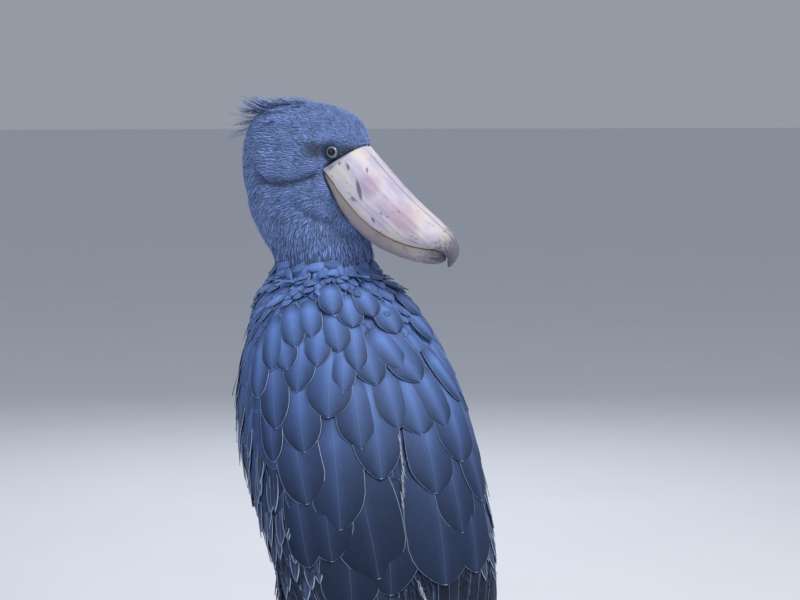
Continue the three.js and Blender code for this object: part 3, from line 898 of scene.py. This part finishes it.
starts, ways, lengths, halves = [], [], [], []
for start, end, count, length, rise, half in CREST_ROWS:
    for k in range(count):
        along = rng.uniform(start, end)
        aside = rng.normal(0, 0.013)
        starts.append(from_head([along, aside, 0.10]))
        way = np.array([-1.0, aside * 7 + rng.normal(0, 0.10), rise + rng.normal(0, 0.13)])
        ways.append(way @ HEAD_AXES)
        lengths.append(length * rng.uniform(0.6, 1.15))
        halves.append(half * rng.uniform(0.7, 1.3))
landed = [skin_tree.ray_cast(Vector(spot), Vector(DOWN))[0] for spot in starts]
kept = [i for i, spot in enumerate(landed) if spot is not None]
starts = np.array([landed[i] for i in kept]) - np.array([0, 0, 0.0005])
ways, lengths, halves = np.array(ways)[kept], np.array(lengths)[kept], np.array(halves)[kept]
crest = coat("crest_wisps", None, starts, ways, lengths, halves, outline="lance", rows=9, columns=3,
             low=0, high=0, bow=rng.normal(0.05, 0.25, len(kept)), arch=0.0004,
             fronts=np.tile([0, 0, 1.0], (len(kept), 1)), shade=rng.normal(0.5, 0.15, len(kept)),
             unwrap=head_unwrap, replaces=["crest"])
crest.data.materials.append(tuft_finish)

# The eyes: glassy balls with a dark pupil, a pale grey ring flecked with darker spokes and a
# dark rim, under a clear bulge. Each sits in its socket behind the ring of its lids.

PUPIL, IRIS, LIMBUS = 0.0048, 0.0079, 0.0087


def head_place(finish):
    """Places as to_head gives them."""
    shift = tuple(HEAD_AXES @ -HEAD_ORIGIN)
    return finish.stretch(finish.position(), (1, 1, 1), (0, 0, -HEAD_TURN), shift)


def eye_finish(name):
    finish = Finish(name, Roughness=0.15, Coat_Weight=0.20, Coat_Roughness=0.02, Specular_IOR_Level=0.25)
    place = head_place(finish)
    gap = finish.part(place, "X") ** 2 + finish.part(place, "Z") ** 2
    gap = finish.node("ShaderNodeMath", {"operation": "SQRT"}, [gap])
    spokes = finish.noise(finish.stretch(place, (900, 300, 900)), 1.0, 3.0)
    ring = finish.mix(clamp((spokes - 0.35) * 1.6), (0.15, 0.20, 0.26), (0.36, 0.45, 0.55))
    ring = finish.mix(finish.ramp(gap, IRIS - 0.0014, IRIS) * 0.7, ring, (0.10, 0.12, 0.16))
    ring = finish.mix(finish.ramp(gap, IRIS, LIMBUS), ring, (0.010, 0.011, 0.015))
    colour = finish.mix(finish.ramp(gap, PUPIL, PUPIL + 0.0005), (0.004, 0.004, 0.006), ring)
    return finish.feed(Base_Color=colour)


for side, name in ((1, "left"), (-1, "right")):
    bpy.ops.object.select_all(action="DESELECT")
    bpy.ops.mesh.primitive_uv_sphere_add(segments=64, ring_count=40, radius=EYE_RADIUS - 0.0002)
    eye = bpy.context.object
    eye.name = "eyeball_" + name
    ahead = places(eye)
    out = ahead[:, 1] * side
    ahead[:, 1] = ahead[:, 1] + side * 0.0006 * smoothstep(out, 0.0078, 0.0100)
    move(eye, (ahead + np.array([0, side * EYE_OUT, 0])) @ HEAD_AXES + HEAD_ORIGIN)
    bpy.ops.object.shade_smooth()
    eye.data.materials.append(eye_finish("eye " + name))
    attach(eye, "root")
    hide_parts("eye_" + name)

# The bill: a huge horn-coloured hull, the upper half ridged along its top with a groove on
# each side and a hooked, dark nail at its end, the lower half darker. The horn is cream to
# lilac, streaked lengthwise, blotched with pink and slate and stained along the biting edge.

BILL_VOXEL = 0.0013
BILL_CREAM = (0.60, 0.55, 0.52)
BILL_LILAC = (0.47, 0.44, 0.57)
BILL_PINK = (0.37, 0.25, 0.37)
BILL_SLATE = (0.085, 0.085, 0.115)
BILL_STAIN = (0.55, 0.47, 0.30)
BILL_LOW = (0.30, 0.23, 0.22)
BLOTCHES = [
    # column, row, length and width in the picture, lean in degrees, dark or pink, strength
    (359, 190, 27, 5.0, 72, "dark", 1.0), (348, 167, 10, 4.0, 70, "dark", 0.8),
    (367, 170, 9, 3.0, 70, "dark", 0.8), (373, 220, 10, 3.2, 60, "dark", 0.8),
    (370, 185, 30, 22, 60, "pink", 1.0), (403, 219, 48, 26, 45, "pink", 1.0),
    (384, 203, 24, 18, 45, "pink", 0.60), (345, 178, 18, 10, 70, "pink", 0.45),
    (413, 242, 16, 3.0, 20, "dark", 0.55), (436, 259, 16, 5, 12, "dark", 0.85),
    (347, 220, 16, 6, 40, "dark", 0.75), (355, 228, 22, 6, 45, "pink", 0.75),
    (335, 209, 6, 5, 30, "dark", 0.8), (444, 232, 7, 3, 60, "dark", 0.6),
    (440, 246, 10, 3, 75, "dark", 0.6), (332, 170, 7, 3, 30, "dark", 0.3),
]
BILL_BASE = np.array([0.020, -0.020])  # the middle of the bill's root, ahead of and above the eyes
BILL_SLOPE = math.atan2(0.108, 0.125)
BILL_LEAN = 41  # the bill's slope in the picture, in degrees


def groove_at(along):
    """Half the width of the ridge along the bill's top, by the distance from its root."""
    return np.interp(along, [0.0, 0.03, 0.09, 0.14, 0.17], [0.0135, 0.0120, 0.0105, 0.0085, 0.0050])


def bill_frame(points):
    """Places as distance along the bill, to its left, and up from its middle line."""
    ahead = to_head(points)
    flat = ahead[:, [0, 2]] - BILL_BASE
    c, s = math.cos(BILL_SLOPE), math.sin(BILL_SLOPE)
    return np.stack([flat[:, 0] * c - flat[:, 1] * s, ahead[:, 1], flat[:, 0] * s + flat[:, 1] * c], 1)


def bill_place(finish):
    """Places as bill_frame gives them."""
    place = finish.stretch(head_place(finish), (1, 1, 1), (0, 0, 0), (-BILL_BASE[0], 0, -BILL_BASE[1]))
    return finish.stretch(place, (1, 1, 1), (0, -BILL_SLOPE, 0))


def horn(name, lower):
    """Streaked, blotched horn, from the bill's own places and the marks on its mesh, with painted
    shade in the grooves and a painted shadow along the seam between the halves.
    """
    finish = Finish(name, Coat_Weight=0.08, Coat_Roughness=0.35, Specular_IOR_Level=0.35)
    place = bill_place(finish)
    along, up = finish.part(place, "X"), finish.part(place, "Z")
    streaks = finish.noise(finish.stretch(place, (14, 300, 300)), 1.0, 5.0, 0.6)
    fine = finish.noise(finish.stretch(place, (40, 900, 900)), 1.0, 3.0, 0.6)
    clouds = finish.noise(finish.stretch(place, (22, 34, 34), shift=(3.1, 0.4, 1.7)), 1.0, 4.0, 0.55)
    spots = finish.noise(finish.stretch(place, (60, 90, 90), shift=(1.1, 5.4, 0.7)), 1.0, 3.0, 0.5)
    colour = finish.mix(finish.ramp(clouds, 0.38, 0.60), BILL_CREAM, BILL_LILAC)
    pinks = finish.ramp(clouds, 0.52, 0.70) * finish.ramp(along, 0.02, 0.07) * 0.5
    ragged = (streaks - 0.5) * 0.9 + (clouds - 0.5) * 0.7
    pinks = clamp(pinks + finish.ramp(finish.attribute("pink") + ragged * 0.6, 0.25, 0.85))
    colour = finish.mix(pinks * 0.75, colour, BILL_PINK)
    colour = finish.mix(clamp((streaks - 0.52) * 2.6) * 0.55, colour, (0.78, 0.74, 0.80))
    colour = finish.mix(clamp((0.44 - streaks) * 3.0) * 0.55, colour, (0.30, 0.24, 0.32))
    colour = finish.mix(finish.ramp(spots, 0.63, 0.70) * 0.75, colour, BILL_SLATE)
    colour = finish.mix(finish.attribute("bite") * (0.85 if lower else 0.6), colour, BILL_STAIN)
    darks = finish.ramp(finish.attribute("dark") + ragged * 0.5, 0.30, 0.75)
    colour = finish.mix(darks * 0.85, colour, BILL_SLATE)
    if lower:
        under = finish.ramp(up * -1.0 + (streaks - 0.5) * 0.02, 0.012, 0.040)
        colour = finish.mix(under * 0.7, colour, BILL_LOW)
    # painted shade in the groove on each side of the ridge
    colour = finish.mix(finish.attribute("groove") * 0.9, colour, (0.060, 0.052, 0.070))
    # painted shadow along the seam between the two halves of the bill
    colour = finish.mix(finish.attribute("line") * 0.92, colour, (0.030, 0.026, 0.034))
    wrinkled = finish.mix(clamp((spots - 0.35) * 2.4), (0.16, 0.16, 0.25), (0.50, 0.50, 0.62))
    colour = finish.mix(finish.attribute("strip") * 0.8, colour, wrinkled)
    tip = finish.ramp(along + (streaks - 0.5) * 0.05, 0.136, 0.168)
    colour = finish.mix(tip * 0.85, colour, BILL_SLATE)
    return finish.feed(Base_Color=colour, Roughness=0.40 + fine * 0.30,
                       Normal=finish.bump(streaks * 0.6 + fine * 0.2 + spots * 0.3, 0.5, 0.0010))


bill_trees = {}
for node in ("bill_upper", "bill_lower"):
    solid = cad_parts[node].data
    corners = [vertex.co for vertex in solid.vertices]
    bill_trees[node] = BVHTree.FromPolygons(corners, [face.vertices for face in solid.polygons])

blotches = []
for column, row, long, wide, lean, kind, strength in BLOTCHES:
    hits = [tree.ray_cast(camera_place, sight_line(column, row)) for tree in bill_trees.values()]
    hits = [(hit[3], hit[0]) for hit in hits if hit[0] is not None]
    if hits:
        middle = bill_frame(np.array([min(hits, key=lambda hit: hit[0])[1]]))[0]
        turn = math.radians(lean) - math.radians(BILL_LEAN)
        blotches.append((middle, long * PIXEL / 2, wide * PIXEL / 2, turn, kind, strength))

for node, lower in (("bill_upper", False), ("bill_lower", True)):
    bill = melted(node + "_horn", [node], BILL_VOXEL, swell=0.0)
    modify(bill, "SMOOTH", factor=0.5, iterations=7)
    points = places(bill)
    frame_points = bill_frame(points)
    along, aside, up = frame_points.T
    gap = np.abs(np.abs(aside) - groove_at(along))
    top = np.zeros(len(points)) if lower else smoothstep(normals(bill)[:, 2], 0.1, 0.5)
    # the grooves: sunk into the mesh here, and given painted shade by the horn's finish
    groove = np.exp(-(gap / 0.0013) ** 2) * top * smoothstep(along, -0.005, 0.012)
    back = along - up * math.tan(BILL_SLOPE - 0.62)
    root_edge = back.min()
    root = 1 - smoothstep(back, root_edge + 0.0006, root_edge + 0.0022)
    strip = smoothstep(back, root_edge + 0.0010, root_edge + 0.0030)
    strip = strip * (1 - smoothstep(back, root_edge + 0.008, root_edge + 0.0095))
    marks = {"dark": np.zeros(len(points)), "pink": np.zeros(len(points))}
    for middle, long, wide, turn, kind, strength in blotches:
        offset = frame_points - middle
        right, rise = offset[:, 0], -offset[:, 2]
        run = right * math.cos(turn) + rise * math.sin(turn)
        reach = rise * math.cos(turn) - right * math.sin(turn)
        spot = np.exp(-(run / long) ** 2 - (reach / wide) ** 2) * (np.abs(offset[:, 1]) < 0.03)
        marks[kind] = np.maximum(marks[kind], spot * strength)
    waves = np.sin(up * 900 + along * 40) * 0.00012 * smoothstep(along, 0.02, 0.05)
    points = points + normals(bill) * (waves - 0.0010 * groove - 0.0004 * root)[:, None]
    behind = (1 - smoothstep(back, root_edge + 0.0002, root_edge + 0.0012))[:, None]
    move(bill, points + behind * (np.array([-0.0055, 0, 0.001]) @ HEAD_AXES))
    other = bill_trees["bill_upper" if lower else "bill_lower"]
    seam = np.array([other.find_nearest(p)[3] for p in points.tolist()])
    bite = np.exp(-(seam / 0.0065) ** 2)
    # where the painted shadow of the seam lies
    line = np.exp(-(seam / 0.0017) ** 2)
    marked(bill, **marks, groove=groove, bite=bite, line=line, strip=strip)
    only(bill)
    bpy.ops.object.shade_smooth()
    bill.data.materials.append(horn(node + " horn", lower))
    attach(bill, "root")
    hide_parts(node)

# The wing coverts: narrow feathers on the outer face of each folded wing, dark slate in the
# middle with wide pale edges. They stand in level rows round the wing, each row half a step
# aside from the one below it, which it lies over.

COVERT_SLATE = (0.042, 0.060, 0.125)
COVERT_HEIGHTS = np.arange(0.595, 0.905, 0.0125)
COVERT_STEP = 0.15  # radians round the body
COVERT_END = 2.25


def slate_plumage(name, middle, rim=0.7, rim_at=(0.0, 0.6), rough=0.55, shaft=0.15):
    """Feathers of one colour of their own, with pale edges, a shaft and barbs."""
    finish = Finish(name, Roughness=rough, Specular_IOR_Level=0.15)
    reach, lines = barbs_of(finish, 420, 40)
    patches = finish.noise(finish.position(), 14.0, 3.0)
    light = (finish.attribute("shade") - 0.5) * 1.6 + (lines - 0.5) * 0.9 + (patches - 0.5) * 1.4
    colour = scaled(middle, 1 + light)
    colour = finish.mix((1 - finish.ramp(reach, 0.0002, 0.0009)) * shaft, colour, RIM_PALE)
    colour = finish.mix(finish.ramp(finish.attribute("rim"), *rim_at) * rim, colour, RIM_PALE)
    return finish.feed(Base_Color=colour, Normal=finish.bump(lines, 0.35, 0.0006))


def on_form(turn, height):
    """The place on the form at an angle round the body and a height."""
    middle = np.array([0, body_axis(height), height])
    out = np.array([math.sin(turn), math.cos(turn), 0])
    return np.array(form_tree.ray_cast(Vector(middle + out * 0.6), Vector(-out))[0])


roots = []
for side in (1, -1):
    for index, height in enumerate(COVERT_HEIGHTS):
        first = covert_edge(height) - 0.16 + (index % 2) * COVERT_STEP / 2
        for turn in np.arange(first, COVERT_END, COVERT_STEP):
            jitter = rng.normal(0, 1, 2)
            roots.append(on_form(side * (turn + jitter[0] * 0.012), height + jitter[1] * 0.0018))
roots = np.array(roots)
lie = unit(body_ways(roots) * 0.5 + DOWN + np.array([0, 0.30, 0]))
halves = (0.0068 + 0.0014 * smoothstep(0.8 - roots[:, 2], 0, 0.2)) * rng.uniform(0.9, 1.1, len(roots))
coverts = coat("coverts", form_tree, roots, swung(lie, 0.045), rng.uniform(0.046, 0.058, len(roots)),
               halves, outline="covert", rows=13, columns=5, low=0.0018,
               high=0.0064 + rng.exponential(0.0008, len(roots)),
               tilt=rng.normal(0, 0.0004, len(roots)), rim=0.0019,
               shade=np.clip(rng.normal(0.48, 0.14, len(roots)), 0.2, 0.8), atlas=True)
coverts.data.materials.append(slate_plumage("covert feathers", COVERT_SLATE, rim=0.95, rim_at=(0.0, 0.5)))

# The flight feathers: the long, stiff, dark vanes of each folded wing. They run down its
# outer side and meet in a point over the tail, the inner ones over the outer ones, with a
# few more down its inner edge. A closed core stands for the feathers beneath them.

WING_TIP = np.array([0.040, 0.192, 0.352])
FLIGHT_COUNT = 17
FLIGHT_SLATE = (0.023, 0.034, 0.064)
FLIGHT_CORE = (0.022, 0.028, 0.045)
CORE_VOXEL = 0.004
INNER_FLIGHT = [
    # distance from the bird's middle at the root and at the tip, and the tip's height
    (0.010, 0.014, 0.375),
    (0.024, 0.028, 0.362),
    (0.040, 0.042, 0.355),
    (0.054, 0.052, 0.360),
]
INNER_ROOT = 0.60  # the height of their roots


def core_plumage(name, middle):
    """The closed mass of feathers beneath the outer vanes, streaked down its length."""
    finish = Finish(name, Roughness=0.6, Specular_IOR_Level=0.3)
    streaks = finish.noise(finish.stretch(finish.position(), (150, 150, 9)), 1.0, 4.0)
    colour = scaled(middle, 0.55 + streaks * 0.9)
    return finish.feed(Base_Color=colour, Normal=finish.bump(streaks, 0.6, 0.002))


def from_behind(x, height):
    """The place on the form that is seen from straight behind the bird."""
    return np.array(form_tree.ray_cast(Vector((x, 0.6, height)), Vector((0, -1, 0)))[0])


for side, name in ((1, "left"), (-1, "right")):
    core = melted("flight_core_" + name, ["flight_feathers_" + name], CORE_VOXEL)
    modify(core, "SMOOTH", factor=0.5, iterations=10)
    move(core, places(core) - normals(core) * 0.0095)
    modify(core, "SMOOTH", factor=0.5, iterations=4)
    core.data.materials.append(core_plumage("flight core " + name, FLIGHT_CORE))
    only(core)
    bpy.ops.object.shade_smooth()
    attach(core, "root")
    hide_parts("flight_feathers_" + name)
    share = np.linspace(1, 0, FLIGHT_COUNT)
    starts = np.array([on_form(side * (0.25 + 1.70 * u), 0.66 - 0.02 * u) for u in share])
    tip = WING_TIP * np.array([side, 1, 1])
    tips = tip + np.stack([side * 0.030 * share, 0 * share, 0.10 * (1 - share) ** 1.5], 1)
    inner_starts = [from_behind(side * root_x, INNER_ROOT) for root_x, tip_x, tip_z in INNER_FLIGHT]
    inner_tips = [from_behind(side * tip_x, tip_z) for root_x, tip_x, tip_z in INNER_FLIGHT]
    starts = np.concatenate([starts, inner_starts])
    tips = np.concatenate([tips, inner_tips])
    share = np.concatenate([share, np.zeros(len(INNER_FLIGHT))])
    spans = np.linalg.norm(tips - starts, axis=1)
    vanes = coat("flight_" + name, form_tree, starts, tips - starts, spans * 1.01,
                 0.0135 + 0.003 * (1 - share), outline="flight", rows=20, columns=7, low=0.002,
                 high=0.0045 + 0.0045 * (1 - share), tilt=-side * 0.0012, arch=0.0012, rim=0.0011,
                 shade=rng.normal(0.46, 0.10, len(share)), atlas=True)
    vanes.data.materials.append(slate_plumage("flight feathers " + name, FLIGHT_SLATE, rim=0.5))

# The tail: a short, square fan of broad dark feathers under the wing tips. One layer lies
# on the upper side of a closed core and one on its under side.

TAIL_SLATE = (0.032, 0.040, 0.064)
TAIL_CORE = (0.024, 0.030, 0.048)
TAIL_FEATHERS = 13  # to a side
TAIL_ROOT, TAIL_TIP = (0.80, 0.55), (0.03, 0.93)  # shares of the tail's height and half width

tail_low, tail_high = [np.array(corner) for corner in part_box("tail")]
tail_core = melted("tail_core", ["tail"], CORE_VOXEL)
modify(tail_core, "SMOOTH", factor=0.5, iterations=6)
move(tail_core, places(tail_core) - normals(tail_core) * 0.003)
tail_core.data.materials.append(core_plumage("tail core", TAIL_CORE))
only(tail_core)
bpy.ops.object.shade_smooth()
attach(tail_core, "root")
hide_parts("tail")
tail_tree = tree_of(tail_core)
tail_width = (tail_high[0] - tail_low[0]) / 2
tail_height = tail_high[2] - tail_low[2]
starts, tips = [], []
for face in (1, -1):
    for share in np.linspace(-1, 1, TAIL_FEATHERS):
        for spots, (height, reach) in ((starts, TAIL_ROOT), (tips, TAIL_TIP)):
            far = np.array([share * tail_width * reach, tail_high[1] * face + 0.5 * face,
                            tail_low[2] + tail_height * height])
            found = tail_tree.ray_cast(Vector(far), Vector((0, -face, 0)))[0]
            spots.append(np.array(found) if found else nearest(tail_tree, far[None] * [1, 0.4, 1])[0][0])
starts, tips = np.array(starts), np.array(tips)
spans = np.linalg.norm(tips - starts, axis=1)
tail = coat("tail_feathers", tail_tree, starts, tips - starts, spans, 0.015, outline="flight", rows=14,
            columns=7, low=0.0008, high=0.0035, tilt=0.0014, arch=0.0010,
            shade=rng.normal(0.50, 0.10, len(starts)), atlas=True)
tail.data.materials.append(slate_plumage("tail feathers", TAIL_SLATE, rim=0.4))

# The breast and belly: long, narrow plumes that hang down the breast between the wings,
# then short, soft, pale tufts over the belly, the thighs and all other skin below the wings.

PLUME_SPACING = 0.0085
TUFT_TOP = 0.61  # the height where the short tufts begin


def on_breast(points):
    """True on the front, from the foot of the neck down, between the wings."""
    turn = np.abs(body_turn(points))
    return (points[:, 2] > 0.50) & (points[:, 2] < 0.945) & (turn > 2.05)


roots = scattered(skin, lambda p: np.full(len(p), PLUME_SPACING), on_breast)
halves = rng.uniform(0.0050, 0.0070, len(roots))
breast = coat("breast_plumes", form_tree, roots, swung(body_ways(roots), 0.08),
              rng.uniform(0.045, 0.075, len(roots)), halves, outline="lance", rows=8, columns=5,
              low=0.001, high=0.0065 + rng.exponential(0.001, len(roots)), arch=0.0012,
              shade=rng.normal(0.52, 0.14, len(roots)), atlas=True)
breast.data.materials.append(plumage("breast plumes", rim=0.35, darken=0.30, shaft=0.1))


def on_underside(points):
    return points[:, 2] < TUFT_TOP


def uncovered(points):
    """True where no flight feathers lie over the skin."""
    spots = nearest(form_tree, points)[0]
    return np.linalg.norm(spots - points, axis=1) < 0.008


roots = scattered(skin, lambda p: 0.0046 + 0.0022 * smoothstep(p[:, 2], 0.36, 0.48), on_underside)
roots = roots[uncovered(roots)]
low_share = smoothstep(roots[:, 2], 0.33, 0.46)
belly = coat("belly_tufts", skin_tree, roots, swung(body_ways(roots), 0.14),
             rng.uniform(0.018, 0.026, len(roots)) * (0.7 + 0.8 * low_share),
             (0.0022 + 0.0016 * low_share) * rng.uniform(0.9, 1.2, len(roots)), outline="lance", rows=6,
             columns=3, low=0.0006, high=0.0035 + 0.003 * low_share, arch=0.0006,
             shade=rng.normal(0.55, 0.12, len(roots)))
belly.data.materials.append(plumage("belly tufts", rim=0.08, darken=0.12, barbs=0.25, rough=0.7,
                                    shaft=0, bump=0))

# The legs: long bare shanks and toes, sheathed in dark horny plates that run across the
# front of the shank and the tops of the toes, with finer scales behind and beneath.

TOES = ("middle", "inner", "outer", "hind")
LEG_VOXEL = 0.0020
SHANK_PLATE = 0.0085  # the length of a plate
TOE_PLATE = 0.0062
SHANK_TUCK = 0.022  # how far the shank's top reaches up into the thigh
LEG_DARK = (0.028, 0.030, 0.036)
LEG_GREY = (0.110, 0.115, 0.125)


def leg_finish():
    """Grey skin with dark seams: those of the plates, and between them those of fine scales."""
    finish = Finish("leg plates", Roughness=0.5, Specular_IOR_Level=0.45)
    place = finish.position()
    scales = finish.node("ShaderNodeTexVoronoi", {"feature": "DISTANCE_TO_EDGE"},
                         {"Vector": finish.stretch(place, (1, 1, 0.8)), "Scale": 330.0}, out="Distance")
    grime = finish.noise(place, 40.0, 4.0)
    plates = finish.attribute("plates")
    seams = clamp((1 - finish.ramp(scales, 0.0, 0.12)) * (1 - finish.attribute("scutes")) + plates)
    colour = finish.mix(grime, LEG_DARK, LEG_GREY)
    colour = finish.mix(seams * 0.7, colour, (0.012, 0.012, 0.014))
    return finish.feed(Base_Color=colour, Roughness=0.42 + grime * 0.3,
                       Normal=finish.bump(seams * -1.0 + grime * 0.3, 0.6, 0.0012))


leg_skin = leg_finish()
for side in ("left", "right"):
    nodes = ["shank_" + side] + [f"toe_{side}_{toe}" for toe in TOES]
    leg = melted("leg_" + side, nodes, LEG_VOXEL, swell=0.0008)
    modify(leg, "SMOOTH", factor=0.5, iterations=4)
    points, outs = places(leg), normals(leg)
    top = points[:, 2].max()
    points[:, 2] += SHANK_TUCK * smoothstep(points[:, 2], top - 0.006, top - 0.001)
    heel = points[points[:, 2] > 0.05].mean(axis=0)
    shank = smoothstep(points[:, 2], 0.030, 0.045)
    front = smoothstep(-outs[:, 1], 0.0, 0.4)
    rings = np.abs(np.sin(points[:, 2] * math.pi / SHANK_PLATE))
    spread = np.hypot(points[:, 0] - heel[0], points[:, 1] - heel[1])
    bars = np.abs(np.sin(spread * math.pi / TOE_PLATE))
    above = smoothstep(outs[:, 2], 0.1, 0.5)
    scutes = shank * front + (1 - shank) * above
    wave = shank * rings + (1 - shank) * bars
    plates = np.clip(1 - wave * 3.2, 0, 1) * scutes
    points = points + outs * ((wave ** 0.6 - 0.6) * 0.0007 * scutes)[:, None]
    points[:, 2] = np.where(points[:, 2] < 0.0012, 0.0, points[:, 2])
    move(leg, points)
    marked(leg, plates=plates, scutes=scutes)
    only(leg)
    bpy.ops.object.shade_smooth()
    leg.data.materials.append(leg_skin)
    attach(leg, "root")
    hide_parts(*nodes)

# The claws: long, slightly curved sheaths of dark horn, one on each toe, worn paler in
# patches. Their under sides are flattened where they touch the floor.

CLAW_VOXEL = 0.0010

claw_finish = Finish("claw horn", Roughness=0.3, Coat_Weight=0.2, Specular_IOR_Level=0.5)
rub = claw_finish.noise(claw_finish.stretch(claw_finish.position(), (300, 300, 300)), 1.0, 4.0)
claw_finish.feed(Base_Color=claw_finish.mix(rub, (0.018, 0.017, 0.018), (0.095, 0.088, 0.082)),
                 Normal=claw_finish.bump(rub, 0.4, 0.0005))
for side in ("left", "right"):
    for toe in TOES:
        node = f"claw_{side}_{toe}"
        claw = melted(node + "_horn", [node], CLAW_VOXEL, swell=0.0)
        modify(claw, "SMOOTH", factor=0.5, iterations=3)
        points = places(claw)
        points[:, 2] = np.maximum(points[:, 2], 0.0)
        move(claw, points)
        only(claw)
        bpy.ops.object.shade_smooth()
        claw.data.materials.append(claw_finish.data)
        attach(claw, "root")
        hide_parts(node)

# The skin's finish: it shows only between the feathers and on the lids, so it takes the same
# markings as the coats over it, with the dark patch round the eyes; that patch is partly
# painted shade under the brows and in the fold from the gape.

marked(skin, mask=face_dark_and_shade(places(skin)))
skin_finish = Finish("skin", Roughness=0.8)
skin_finish.feed(Base_Color=markings(skin_finish))
skin.data.materials.append(skin_finish.data)
only(skin)
bpy.ops.object.shade_smooth()
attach(skin, "root")
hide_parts(*FLESH)

bpy.data.objects.remove(form)
